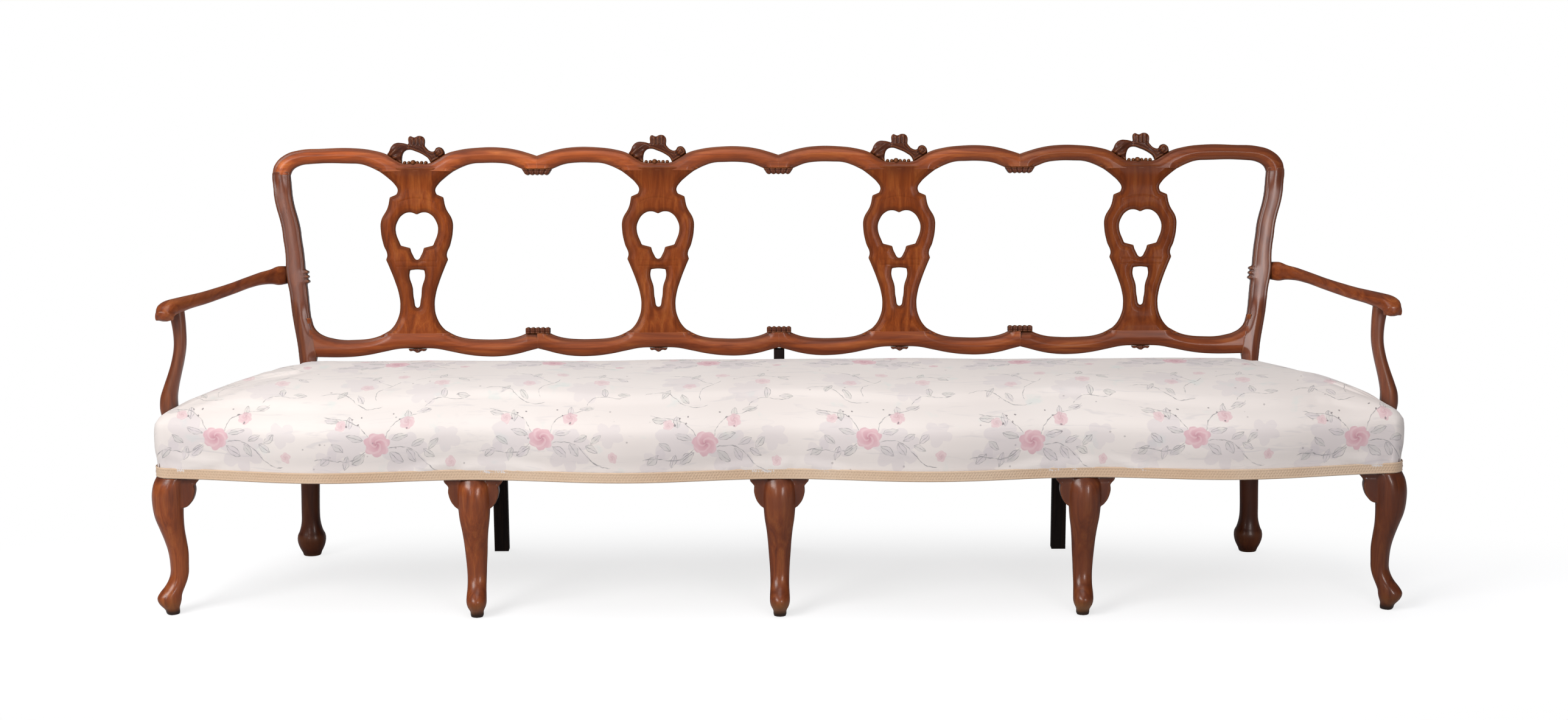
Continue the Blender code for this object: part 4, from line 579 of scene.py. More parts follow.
leg_head = add_block(bpy.ops.mesh.primitive_cube_add, size=1.0, scale=(HEAD_SIDE, HEAD_SIDE, HEAD_TALL),
                     location=(CORNER_LEG_X, CORNER_FRONT_Y + CORNER_HEAD / 2, HEAD_MIDDLE_Z))
apply_step(leg_head, "BEVEL", width=0.009, segments=4)
corner_leg = fuse([corner_leg, front_ear, side_ear, leg_head], "front_leg_corner_right", LEG_VOXEL)
shade_brackets(corner_leg, *CORNER_KNEE.xy)
flipped = Matrix.Scale(-1, 4, (1, 0, 0))
left_corner = copy_piece(corner_leg, "front_leg_corner_left", flipped, mirrored=True)
for i, piece in enumerate((left_corner, left_leg, inner_leg, right_leg, corner_leg)):
    hand_over(piece, walnut_legs[i], "walnut", f"front_leg_{i + 1}")

# Back posts
# Each post is one length of walnut with its rear leg below the seat: a pad foot, a round ankle,
# then a flat moulded stile that leans out and back, with a carved clasp opposite the arm.
BACK_Y = 0.2057
SEAT_Z = 0.360
BACK_RAKE = math.radians(10.0)
POST_X = 1.061
POST_HALF = 0.0198
POST_FLARE = 0.056
SHOULDER_UP = 0.5060
ARM_UP = 0.2823
BOARD_HALF = 0.013
BACK_VOXEL = 0.0016
on_back = Matrix.Translation((0.0, BACK_Y, SEAT_Z)) @ Matrix.Rotation(math.pi / 2 - BACK_RAKE, 4, "X")


def post_lean(up):
    """How far out a post stands at a height up the back."""
    share = up / SHOULDER_UP
    bends = [(0.00, 0.0), (0.20, 0.0), (0.42, 0.29), (0.63, 0.47), (0.76, 0.62), (0.90, 0.92), (1.00, 1.0)]
    for (s0, lean0), (s1, lean1) in zip(bends, bends[1:]):
        if share <= s1:
            t = max(0.0, (share - s0) / (s1 - s0))
            return POST_FLARE * (lean0 + (lean1 - lean0) * (t * t * (3 - 2 * t) * 0.4 + t * 0.6))
    return POST_FLARE


EDGE_ROUND = 0.0046
CUT_AT = 0.0066
CUT_WIDE = 0.0016
CUT_DEEP = 0.0003
FIELD_STARTS = 0.003
FIELD_FULL = 0.019


def face_profile(away, edge_half, dome):
    """Half thickness over a member's face: a rounded edge, a fine cut line inside it and a domed field."""
    field = dome * smooth_between(away, FIELD_STARTS, FIELD_FULL)
    return rounded(away, edge_half, EDGE_ROUND) - groove(away, CUT_AT, CUT_WIDE, CUT_DEEP) + field


EDGE_HALF = 0.0088
DOME = 0.0050
LAP_UNDER = 0.00015


def moulded(x, y, away):
    return face_profile(away, EDGE_HALF, DOME)


def eased(x, y, away):
    return rounded(away, BOARD_HALF, 0.0040)


def back_board(name, outline, front, joint, **more):
    """One board of the back, drawn and carved."""
    board = draw_outline(name, [outline], BOARD_HALF * 2)
    return carve_board(board, BOARD_HALF * 2, front, eased, BACK_VOXEL, joint, **more)


POST_FOOT_UP = -0.020
BOTTOM_RAIL_UP = 0.0971
RAIL_DEPTH = 0.0383
# where the bottom rail sweeps up into the post: distance from the post's edge, rise over the rail
SWEEP = [
    (-0.062, 0.0003), (-0.041, 0.0037), (-0.023, 0.0092), (-0.0085, 0.0195), (-0.0022, 0.0320), (0.0, 0.0500),
]
SWEEP_UP = BOTTOM_RAIL_UP + RAIL_DEPTH + SWEEP[-1][1]
POST_STEPS = 22
ARM_SWELL = 0.0035
FOOT_NARROW = 0.0025
post_tall = SHOULDER_UP - 0.0002 - POST_FOOT_UP
post_ups = [POST_FOOT_UP + post_tall * k / POST_STEPS for k in range(POST_STEPS + 1)]
outer = []
inner = []
for up in post_ups:
    lean = post_lean(max(up, 0.0))
    swell = ARM_SWELL * math.exp(-((up - ARM_UP) / 0.028) ** 2)
    narrow = FOOT_NARROW * (1 - smooth_between(up, 0.07, 0.10))
    ends = ("corner",) if up in (post_ups[0], post_ups[-1]) else ()
    outer.append((POST_X + lean + POST_HALF + swell - narrow, up, *ends))
    inner.append((POST_X + lean - POST_HALF + narrow, up, *ends))
CLASP_BEADS = 3
CLASP_BEAD = 0.0105
BEAD_OUT = 0.0078
bead_low = ARM_UP - 0.004 - CLASP_BEADS * CLASP_BEAD / 2
bead_high = bead_low + CLASP_BEADS * CLASP_BEAD
beads = []
edge = POST_X - POST_HALF
for k in range(CLASP_BEADS):
    up = bead_low + CLASP_BEAD * k
    beads += [(edge + post_lean(up), up, "corner"),
              (edge - BEAD_OUT + post_lean(up + CLASP_BEAD / 2), up + CLASP_BEAD / 2)]
beads.append((edge + post_lean(bead_high), bead_high, "corner"))
below = [p for p in inner if p[1] < bead_low - 0.006]
inner = below + beads + [p for p in inner if p[1] > bead_high + 0.006]
POST_LAP = 0.008
outer[-1] = outer[-1][:2]
inner[-1] = inner[-1][:2]
outer.append((outer[-1][0] - 0.002, SHOULDER_UP + POST_LAP, "corner"))
inner.append((inner[-1][0] + 0.001, SHOULDER_UP + POST_LAP, "corner"))


def post_joint(x, y):
    at_rail = BOTTOM_RAIL_UP - 0.002 < y < SWEEP_UP + 0.001 and x < POST_X + post_lean(y)
    return at_rail or y > SHOULDER_UP + 0.0005 or y < POST_FOOT_UP + 0.0005


def post_front(x, y, away):
    bead = 0.0016 * np.exp(-((y - ARM_UP + 0.004) / 0.017) ** 4)
    bead = bead * smooth_between(-x + POST_X + 0.022, 0.0, 0.02)
    under = LAP_UNDER * smooth_between(y, SHOULDER_UP - 0.010, SHOULDER_UP)
    flat = smooth_between(y, 0.190, 0.230) * (1 - smooth_between(y, SHOULDER_UP - 0.050, SHOULDER_UP - 0.005))
    return face_profile(away, EDGE_HALF + 0.0030 * flat, DOME - 0.0040 * flat) + bead - under


sweep_line = []
for away, rise in even_points(SWEEP, 120):
    up = BOTTOM_RAIL_UP + RAIL_DEPTH + rise
    sweep_line.append((edge + post_lean(up) + away, up))
post = back_board("post", outer + list(reversed(inner)), post_front, post_joint, beside=sweep_line)
post.data.transform(on_back)
# height, distance from the middle, half width, half depth
REAR_ROWS = [
    (0.000, 1.0670, 0.0195, 0.0195), (0.006, 1.0670, 0.0215, 0.0215), (0.018, 1.0670, 0.0275, 0.0275),
    (0.032, 1.0670, 0.0315, 0.0315), (0.042, 1.0670, 0.0318, 0.0318), (0.056, 1.0670, 0.0262, 0.0262),
    (0.074, 1.0670, 0.0218, 0.0216), (0.095, 1.0670, 0.0205, 0.0205), (0.150, 1.0655, 0.0208, 0.0188),
    (0.198, 1.0640, 0.0214, 0.0172), (0.260, 1.0620, 0.0218, 0.0155), (0.340, 1.0610, 0.0218, 0.0150),
]
rear_rings = []
for z, x, wide, deep in even_points(REAR_ROWS, 52):
    square = 2.2 + 3.0 * float(smooth_between(z, 0.14, 0.30))
    turns, ring_x, ring_y = squared_ring(40, square)
    rear_rings.append([Vector((x + wide * a, BACK_Y + deep * b, z)) for a, b in zip(ring_x, ring_y)])
rear_leg = draw_limb("rear_leg", rear_rings)
right_post = join_pieces([post, rear_leg], "right_post")
walnut_upright = polished_walnut("walnut_upright", 2, 0.53, polish=1.0, haze=0.30)
walnut_rear = polished_walnut("walnut_rear", 2, 0.20)


def hand_over_pair(right, finish, node):
    """Hand over a right-hand piece and its mirrored copy on the left."""
    left = copy_piece(right, right.name.replace("right", "left"), flipped, mirrored=True)
    hand_over(right, finish, "walnut", f"right_{node}")
    hand_over(left, finish, "walnut", f"left_{node}")
    return right, left


# The rear legs below the seat take a far darker copy of the walnut: painted shade, as they stand in the
# seat's shadow.
for piece in hand_over_pair(right_post, walnut_upright, "back_post"):
    piece.data.materials.append(walnut_rear)
    for face in piece.data.polygons:
        face.material_index = 1 if face.center.z < SEAT_UNDER + 0.02 else 0

# Bottom rails of the back
# Four lengths of walnut board, tongued together under the clasps and tenoned into the posts,
# their lower edge scalloped between the chair backs. Moulded like the posts.
CHAIR_PITCH = 0.5425
CHAIR_X = [CHAIR_PITCH * k for k in (-1.5, -0.5, 0.5, 1.5)]
HALF_CHAIR = CHAIR_PITCH / 2
END_X = CHAIR_X[3]
POST_INSIDE = POST_X - POST_HALF - END_X
RAIL_END = HALF_CHAIR + 0.0012
JOINT_NEAR = 0.0006
TONGUE_NEAR = 0.0018
# The four rails darken from left to right: painted light falling from the left.
low_finishes = walnut_row("walnut_low_rail", 0, (0.95, 0.90, 0.84, 0.70))
SPLAT_NOTCH = 0.0184
LOW_NOTCH = 0.0178
LOW_CLASP_RISE = 0.0136
LOW_CLASP_HALF = 0.0275
FOOT_HALF = 0.0726
FOOT_RISE = 0.0150
FOOT_UP = BOTTOM_RAIL_UP + RAIL_DEPTH + FOOT_RISE
RAIL_LAP = 0.008


def low_rail_half(at_post):
    """Right half of a bottom rail's outline from the splat's foot, heights from its lowest line."""
    top = RAIL_DEPTH
    lower = [(0.150, 0.0), (0.110, SPLAT_NOTCH * 0.24), (0.075, SPLAT_NOTCH * 0.62),
             (0.040, SPLAT_NOTCH * 0.973), (0.0, SPLAT_NOTCH)]
    upper = [(FOOT_HALF, top + FOOT_RISE, "corner"), (FOOT_HALF + 0.0144, top + FOOT_RISE * 0.547),
             (FOOT_HALF + 0.0354, top + FOOT_RISE * 0.187), (FOOT_HALF + 0.0724, top)]
    if at_post:
        ending = [(POST_INSIDE + post_lean(BOTTOM_RAIL_UP + top + rise) + away, top + rise)
                  for away, rise in SWEEP]
        ending[-1] += ("corner",)
        for k in range(7):
            rise = (top + SWEEP[-1][1]) * (1 - k / 6)
            corner = ("corner",) if k in (0, 6) else ()
            ending.append((POST_INSIDE + post_lean(BOTTOM_RAIL_UP + rise) + RAIL_LAP, rise, *corner))
    else:
        end = RAIL_END
        seat = end - LOW_CLASP_HALF
        rise = LOW_CLASP_RISE
        ending = [(seat - 0.0625, top), (seat - 0.0305, top + rise * 0.23),
                  (seat - 0.0085, top + rise * 0.70), (seat, top + rise, "corner"),
                  (end, top + rise, "corner"), (end, LOW_NOTCH, "corner"),
                  (end - 0.021, LOW_NOTCH * 0.70), (end - 0.046, LOW_NOTCH * 0.33),
                  (end - 0.081, LOW_NOTCH * 0.022)]
    return [(p[0], BOTTOM_RAIL_UP + p[1], *p[2:]) for p in upper + ending + lower]


def whole_rail(half, right_at_post):
    right = half(right_at_post)
    left = [(-p[0], *p[1:]) for p in reversed(half(False)) if p[0] > 0.0]
    return right + left


def at_foot(x, y):
    return abs(y - FOOT_UP) < JOINT_NEAR and abs(x) < FOOT_HALF + 0.0005


def low_joint(x, y):
    at_post = x > POST_INSIDE - 0.001 and x > POST_INSIDE + post_lean(y) - 0.0012
    return at_foot(x, y) or abs(abs(x) - HALF_CHAIR) < TONGUE_NEAR and x < 0.0 or at_post


def low_seat_joint(x, y):
    at_clasp = y > BOTTOM_RAIL_UP + RAIL_DEPTH + LOW_CLASP_RISE - JOINT_NEAR
    at_clasp = at_clasp and abs(x) > HALF_CHAIR - LOW_CLASP_HALF
    return at_foot(x, y) or abs(abs(x) - HALF_CHAIR) < TONGUE_NEAR or at_clasp


def end_rail_front(x, y, away):
    leans = np.interp(y, post_ups, [post_lean(max(up, 0.0)) for up in post_ups])
    into_post = x - leans - POST_INSIDE
    return moulded(x, y, away) - 2 * LAP_UNDER * smooth_between(into_post, -0.001, 0.002)


end_rail = back_board("low_rail_right", whole_rail(low_rail_half, True), end_rail_front, low_joint)
mid_rail = back_board("low_rail_mid_right", whole_rail(low_rail_half, False), moulded, low_seat_joint)


def place_rails(end, mid, name, finishes, node):
    """Set a modelled end rail and middle rail on the back, with their copies on the left."""
    end.data.transform(on_back @ Matrix.Translation((CHAIR_X[3], 0, 0)))
    first = copy_piece(end, f"{name}_left", flipped, mirrored=True)
    second = copy_piece(mid, f"{name}_mid_left", on_back @ Matrix.Translation((CHAIR_X[1], 0, 0)))
    mid.data.transform(on_back @ Matrix.Translation((CHAIR_X[2], 0, 0)))
    for i, piece in enumerate((first, second, mid, end)):
        hand_over(piece, finishes[i], "walnut", f"{node}_{i + 1}")


place_rails(end_rail, mid_rail, "low_rail", low_finishes, "bottom_rail")

# Splats
# Pierced and carved walnut boards, one for each chair back, tenoned into the rails:
# a ring with a shaped hole between pointed ears, and a slotted waist that spreads to a wide foot.
SPLAT_HALF = 0.0088
SPLAT_LAP = 0.008
HEAD_HALF = 0.0815
HEAD_UP = 0.5129
NECK_HALF = 0.0418
NECK_DROP = 0.0410
RING_UP = 0.3829
RING_HALF = 0.0808
HOLE_HALF = 0.0480
HOLE_RISE = 0.0389
HOLE_DROP = 0.0677
UPPER_EAR = (0.0598, 0.4556)
LOWER_EAR = (0.0692, 0.3152)
WAIST_HALF = 0.0384
SLOT_HALF = 0.0178


def blend(low, high, share):
    return low + (high - low) * share


def waist(share):
    """Height at a share of the way from the lower ears down to the splat's foot."""
    return blend(LOWER_EAR[1], FOOT_UP, share)


def mirrored_outline(side):
    return side + [(-p[0], *p[1:]) for p in reversed(side) if p[0] > 0.0]


ear_rise = UPPER_EAR[1] - RING_UP
ear_drop = RING_UP - LOWER_EAR[1]
splat_side = [
    (HEAD_HALF + 0.012, HEAD_UP + SPLAT_LAP, "corner"), (HEAD_HALF, HEAD_UP),
    (blend(NECK_HALF, HEAD_HALF, 0.55), HEAD_UP - NECK_DROP / 3),
    (blend(NECK_HALF, HEAD_HALF, 0.19), HEAD_UP - NECK_DROP * 2 / 3), (NECK_HALF, HEAD_UP - NECK_DROP),
    (blend(NECK_HALF, UPPER_EAR[0], 0.15), UPPER_EAR[1] + 0.0065, "corner"), (*UPPER_EAR, "corner"),
    (RING_HALF * 0.806, RING_UP + ear_rise * 0.673), (RING_HALF * 0.984, RING_UP + ear_rise * 0.289),
    (RING_HALF, RING_UP), (RING_HALF * 0.925, RING_UP - ear_drop * 0.5),
    (LOWER_EAR[0] * 0.962, LOWER_EAR[1] + 0.0110), (*LOWER_EAR, "corner"),
    (blend(WAIST_HALF, LOWER_EAR[0], 0.705), waist(0.13)),
    (blend(WAIST_HALF, LOWER_EAR[0], 0.376), waist(0.29)),
    (blend(WAIST_HALF, LOWER_EAR[0], 0.10), waist(0.46)), (WAIST_HALF, waist(0.63)),
    (blend(WAIST_HALF, FOOT_HALF, 0.14), waist(0.79)), (blend(WAIST_HALF, FOOT_HALF, 0.60), waist(0.945)),
    (FOOT_HALF, FOOT_UP), (FOOT_HALF + 0.012, FOOT_UP - SPLAT_LAP, "corner"),
]
ring_hole = [
    (0.0, RING_UP + HOLE_RISE * 0.88, "corner"), (HOLE_HALF * 0.29, RING_UP + HOLE_RISE),
    (HOLE_HALF * 0.625, RING_UP + HOLE_RISE * 0.90), (HOLE_HALF * 0.917, RING_UP + HOLE_RISE * 0.463),
    (HOLE_HALF, RING_UP - HOLE_DROP * 0.02), (HOLE_HALF * 0.77, RING_UP - HOLE_DROP * 0.526, "corner"),
    (HOLE_HALF * 0.33, RING_UP - HOLE_DROP * 0.607, "corner"),
    (HOLE_HALF * 0.23, RING_UP - HOLE_DROP * 0.812), (0.0, RING_UP - HOLE_DROP),
]
waist_slot = [
    (0.0, waist(0.133)), (SLOT_HALF * 0.93, waist(0.143), "corner"), (SLOT_HALF, waist(0.225)),
    (SLOT_HALF * 0.62, waist(0.375)), (SLOT_HALF * 0.45, waist(0.54)), (0.0, waist(0.655)),
]
splat_outlines = [mirrored_outline(side) for side in (splat_side, ring_hole, waist_slot)]
splat = draw_outline("carved_splat_1", splat_outlines, SPLAT_HALF * 2)


def near_rails(y):
    """One at the rails, falling to nothing over the splat's thin middle."""
    head = smooth_between(y, HEAD_UP - 0.044, HEAD_UP - 0.004)
    foot = 1 - smooth_between(y, FOOT_UP + 0.004, FOOT_UP + 0.038)
    return np.maximum(head, foot)


def splat_front(x, y, away):
    thick = near_rails(y)
    face = face_profile(away, blend(0.0066, EDGE_HALF, thick), blend(0.0020, DOME, thick)) - LAP_UNDER * thick
    band = groove(np.abs(y - waist(0.055)), 0.0060, 0.0014, 0.0006) * (np.abs(x) < 0.045)
    brow = groove(np.abs(y - UPPER_EAR[1] + 0.002 + x * x * 6.0), 0.0, 0.0016, 0.0006)
    return face - band - brow * (np.abs(x) < 0.040)


def splat_back(x, y, away):
    return rounded(away, blend(SPLAT_HALF, BOARD_HALF - 0.0002, near_rails(y)), 0.0032)


def crest_stain(x, y):
    """Painted shadow that the crest casts on the rail's dip and the splat's top below it."""
    return np.exp(-(x / 0.055) ** 2 - ((y - HEAD_UP - 0.006) / 0.022) ** 2)


def splat_joint(x, y):
    return y > HEAD_UP + 0.0003 or y < FOOT_UP - 0.0003


SPLAT_VOXEL = 0.00137
carve_board(splat, SPLAT_HALF * 2, splat_front, splat_back, SPLAT_VOXEL, splat_joint, 2, stain=crest_stain)


def set_along_back(first, name, xs, finishes, node):
    """Set a carved piece and its copies along the back, and hand them over."""
    pieces = [first] + [copy_piece(first, f"{name}_{i + 1}") for i in range(1, len(xs))]
    for i, piece in enumerate(pieces):
        piece.data.transform(on_back @ Matrix.Translation((xs[i], 0, 0)))
        hand_over(piece, finishes[i], "walnut", f"{node}_{i + 1}")


# The four splats darken from left to right: painted light falling from the left.
splat_finishes = walnut_row("walnut_splat", 2, (0.78, 0.74, 0.68, 0.56), polish=0.06, shine=0.06)
set_along_back(splat, "carved_splat", CHAIR_X, splat_finishes, "splat")

# Top rails
# Four lengths of walnut board along the top, dipped over each splat for the crest and notched
# between the chair backs; the end ones turn down in round shoulders onto the posts.
BACK_HEIGHT = 0.5663
TOP_DEPTH = 0.0342
RAIL_DIP = 0.0338
HEAD_DROP = 0.0192
TOP_NOTCH = 0.0192
TOP_CLASP_DROP = 0.0146
CLASP_BASE_HALF = 0.0335
SHOULDER_DROP = 0.0603
SHOULDER_OUT = POST_X + POST_FLARE + POST_HALF - END_X
SHOULDER_IN = SHOULDER_OUT - 2 * POST_HALF


def top_rail_half(at_post):
    """Right half of a top rail's outline from its dip, heights from the lobes' crown."""
    upper = [(0.0, -RAIL_DIP), (0.030, -RAIL_DIP * 1.015), (0.048, -RAIL_DIP * 0.75),
             (0.066, -RAIL_DIP * 0.42), (0.092, -RAIL_DIP * 0.18), (0.140, 0.0)]
    lower = [(HEAD_HALF + 0.0685, -TOP_DEPTH), (HEAD_HALF + 0.0435, -TOP_DEPTH - HEAD_DROP * 0.083),
             (HEAD_HALF + 0.0225, -TOP_DEPTH - HEAD_DROP * 0.427),
             (HEAD_HALF, -TOP_DEPTH - HEAD_DROP, "corner")]
    if at_post:
        out, inside, fall = SHOULDER_OUT, SHOULDER_IN, SHOULDER_DROP - TOP_DEPTH
        ending = [(out - 0.110, -SHOULDER_DROP * 0.017), (out - 0.062, -SHOULDER_DROP * 0.066),
                  (out - 0.028, -SHOULDER_DROP * 0.25), (out - 0.006, -SHOULDER_DROP * 0.614),
                  (out, -SHOULDER_DROP, "corner"), (inside, -SHOULDER_DROP, "corner"),
                  (inside - 0.005, -TOP_DEPTH - fall * 0.575), (inside - 0.020, -TOP_DEPTH - fall * 0.19),
                  (inside - 0.050, -TOP_DEPTH - fall * 0.015)]
    else:
        end = RAIL_END
        seat = end - CLASP_BASE_HALF
        drop = TOP_CLASP_DROP
        ending = [(end - 0.081, 0.0), (end - 0.046, -TOP_NOTCH * 0.276), (end - 0.021, -TOP_NOTCH * 0.64),
                  (end, -TOP_NOTCH, "corner"), (end, -TOP_DEPTH - drop, "corner"),
                  (seat, -TOP_DEPTH - drop, "corner"), (seat - 0.0095, -TOP_DEPTH - drop * 0.72),
                  (seat - 0.0275, -TOP_DEPTH - drop * 0.26), (seat - 0.0565, -TOP_DEPTH)]
    return [(p[0], BACK_HEIGHT + p[1], *p[2:]) for p in upper + ending + lower]


def top_joint(x, y):
    head = abs(y - HEAD_UP) < JOINT_NEAR and abs(x) < HEAD_HALF + 0.0005
    clasp = y < BACK_HEIGHT - TOP_DEPTH - TOP_CLASP_DROP + JOINT_NEAR
    clasp = clasp and HALF_CHAIR - CLASP_BASE_HALF < abs(x) < HALF_CHAIR
    shoulder = y < BACK_HEIGHT - SHOULDER_DROP + JOINT_NEAR and x > SHOULDER_IN - 0.001
    tongue = abs(abs(x) - HALF_CHAIR) < TONGUE_NEAR and y < BACK_HEIGHT - TOP_NOTCH + 0.001
    return head or clasp or shoulder or tongue


def top_end_joint(x, y):
    return top_joint(x, y) and not (x > 0 and abs(x - HALF_CHAIR) <= 0.002)


end_outline = whole_rail(top_rail_half, True)
mid_outline = whole_rail(top_rail_half, False)
top_end = back_board("crown_rail_right", end_outline, moulded, top_end_joint, stain=crest_stain)
top_mid = back_board("crown_rail_mid_right", mid_outline, moulded, top_joint, stain=crest_stain)
rail_room = draw_outline("rail_room", [mid_outline], BOARD_HALF * 4)
# The four rails darken from left to right, the left one brightest: painted light falling from the left.
top_finishes = walnut_row("walnut_top_rail", 0, (1.40, 1.20, 1.02, 0.70))
place_rails(top_end, top_mid, "crown_rail", top_finishes, "top_rail")

# Crests
# A pierced arch of carved walnut on the dip of each top rail: a mass of leaves on the left,
# a leaf block on top and a band that runs down into a ball scroll on the right, over a row of beads.
CREST_UP = 0.5325
CREST_HALF = 0.064
CREST_HEIGHT = 0.061
CREST_BOARD = 0.022
# share of the half width, share of the height
CREST_SHARES = [
    (0.52, -0.13, "corner"), (0.94, 0.00, "corner"), (1.00, 0.31), (0.95, 0.49), (0.83, 0.58), (0.70, 0.54),
    (0.63, 0.43), (0.47, 0.45), (0.30, 0.62, "corner"), (0.27, 0.93), (0.11, 1.00), (-0.06, 0.94),
    (-0.22, 0.98), (-0.26, 0.68, "corner"), (-0.50, 0.74), (-0.72, 0.73), (-0.86, 0.61), (-0.94, 0.43),
    (-1.03, 0.28), (-0.97, 0.00, "corner"), (-0.48, -0.13, "corner"), (-0.50, 0.21), (-0.42, 0.42),
    (-0.27, 0.49), (0.00, 0.42), (0.28, 0.28), (0.45, 0.13),
]
crest_outline = [(CREST_HALF * p[0], CREST_UP + CREST_HEIGHT * p[1], *p[2:]) for p in CREST_SHARES]
crest = draw_outline("carved_crest_1", [crest_outline], CREST_BOARD)
apply_step(crest, "BOOLEAN", operation="DIFFERENCE", solver="EXACT", object=rail_room)
bpy.data.objects.remove(rail_room)


def crest_front(x, y, away):
    a = x / CREST_HALF
    b = (y - CREST_UP) / CREST_HEIGHT
    ball = np.hypot(x - CREST_HALF * 0.83, y - CREST_UP - CREST_HEIGHT * 0.40)
    body = rounded(away, CREST_BOARD / 2 - 0.0030, 0.0060)
    band = groove(away, 0.0062, 0.0014, 0.0018) * (a > -0.30) * (b < 0.62)
    eye = 0.0058 * np.sqrt(np.clip(1 - (ball / 0.0098) ** 2, 0.0, 1.0))
    ring = groove(ball, 0.0112, 0.0015, 0.0020)
    flutes = 0.0019 * (0.5 - 0.5 * np.cos(2 * np.pi * (a - 0.02) / 0.135))
    flutes = flutes * (b > 0.64) * (a > -0.26) * (a < 0.30)
    fan = np.arctan2(b - 0.02, a + 1.20)
    leaves = 0.0026 * (0.5 - 0.5 * np.cos(fan * 17.0)) * (a < -0.28)
    swell = 0.0034 * np.exp(-((a + 0.72) / 0.22) ** 2 - ((b - 0.42) / 0.30) ** 2)
    return body - band + eye - ring - flutes - leaves + swell


def crest_back(x, y, away):
    return rounded(away, CREST_BOARD / 2, 0.0040)


CREST_VOXEL = 0.0013
carve_board(crest, CREST_BOARD, crest_front, crest_back, CREST_VOXEL, smoothing=2)
BEAD_RADIUS = 0.0042
BEAD_DEEP = 2.2
bead_row = []
for k in range(6):
    bead_x = CREST_HALF * (-0.40 + 0.148 * k)
    radius = BEAD_RADIUS * (1.5 if k == 2 else 1.0)
    bead_row.append(add_block(bpy.ops.mesh.primitive_uv_sphere_add, segments=16, ring_count=10, radius=radius,
                              location=(bead_x, CREST_UP + radius * 0.10, 0.0), scale=(1.0, 1.0, BEAD_DEEP)))
crest = join_pieces([crest] + bead_row, "carved_crest_1")
walnut_carved = polished_walnut("walnut_carved", 0, 0.20, shine=0.18)
set_along_back(crest, "carved_crest", CHAIR_X, [walnut_carved] * 4, "crest")

# Clasps and drops
# Small carved sheaves glued over the joints of the rails, and a carved drop under each splat.
# Each is a short row of round lobes, standing a little proud of the rails.
CLASP_BOARD = 0.030
CLASP_HEIGHT = 0.0108
CLASP_TIP_HALF = 0.0265
CLASP_LOBES = 5
CLASP_NICK = 0.0026
TOP_CLASP_UP = BACK_HEIGHT - TOP_DEPTH - TOP_CLASP_DROP
LOW_CLASP_UP = BOTTOM_RAIL_UP + RAIL_DEPTH + LOW_CLASP_RISE
CLASP_VOXEL = 0.0010


def lobed_edge(half, line, away, lobes, nick):
    """Scalloped edge from +half to -half: round lobes with a nick between each two."""
    points = []
    for k in range(lobes):
        points.append((half - 2 * half * (k + 0.5) / lobes, line + away * nick))
        if k < lobes - 1:
            points.append((half - 2 * half * (k + 1) / lobes, line, "corner"))
    return points


def clasp_board(name, base_half, tip_half, base, away):
    tip = base + away * CLASP_HEIGHT
    outline = [(-tip_half, tip, "corner"), (-base_half, base, "corner"), (base_half, base, "corner"),
               (tip_half, tip, "corner")] + lobed_edge(tip_half, tip, away, CLASP_LOBES, CLASP_NICK)
    board = draw_outline(name, [outline], CLASP_BOARD)

    def ribbed(x, y, edge):
        width = blend(base_half, tip_half, np.clip((y - base) / (tip - base), 0.0, 1.0))
        rib = np.abs(np.cos(np.pi * (x / width * CLASP_LOBES / 2 + 0.5 * (CLASP_LOBES % 2 == 0))))
        fillet = groove(np.abs(y - base), 0.0030, 0.0009, 0.0012)
        return rounded(edge, CLASP_BOARD / 2, 0.0024) - 0.0028 * (1 - rib) ** 2 - fillet

    def plain(x, y, edge):
        return rounded(edge, BOARD_HALF, 0.0024)

    return carve_board(board, CLASP_BOARD, ribbed, plain, CLASP_VOXEL,
                       lambda x, y: abs(y - base) < JOINT_NEAR, 2)


top_clasp = clasp_board("carved_top_clasp_1", CLASP_BASE_HALF, CLASP_TIP_HALF, TOP_CLASP_UP, -1)
low_clasp = clasp_board("carved_bottom_clasp_1", LOW_CLASP_HALF, LOW_CLASP_HALF, LOW_CLASP_UP, 1)
joint_xs = [x + HALF_CHAIR for x in CHAIR_X[:3]]
set_along_back(top_clasp, "carved_top_clasp", joint_xs, [walnut_carved] * 3, "top_clasp")
set_along_back(low_clasp, "carved_bottom_clasp", joint_xs, [walnut_carved] * 3, "bottom_clasp")

DROP_HALF = 0.020
DROP_HEIGHT = 0.0095
DROP_BOARD = 0.024
drop_up = BOTTOM_RAIL_UP + SPLAT_NOTCH
drop_side = [(0.0, drop_up - DROP_HEIGHT), (DROP_HALF * 0.45, drop_up - DROP_HEIGHT * 0.55),
             (DROP_HALF * 0.82, drop_up - DROP_HEIGHT * 0.6),
             (DROP_HALF, drop_up - DROP_HEIGHT * 0.1, "corner"),
             (DROP_HALF, drop_up - 0.0004, "corner"), (0.0, drop_up - 0.0003)]
drop = draw_outline("carved_drop_1", [mirrored_outline(drop_side)], DROP_BOARD)


def drop_back(x, y, away):
    return rounded(away, DROP_BOARD / 2, 0.0026)


def drop_front(x, y, away):
    veins = 0.0016 * (0.5 - 0.5 * np.cos(2 * np.pi * x / 0.0135))
    return drop_back(x, y, away) - veins


carve_board(drop, DROP_BOARD, drop_front, drop_back, CLASP_VOXEL, lambda x, y: y > drop_up - 0.001, 2)
set_along_back(drop, "carved_drop", CHAIR_X, [walnut_carved] * 4, "splat_drop")

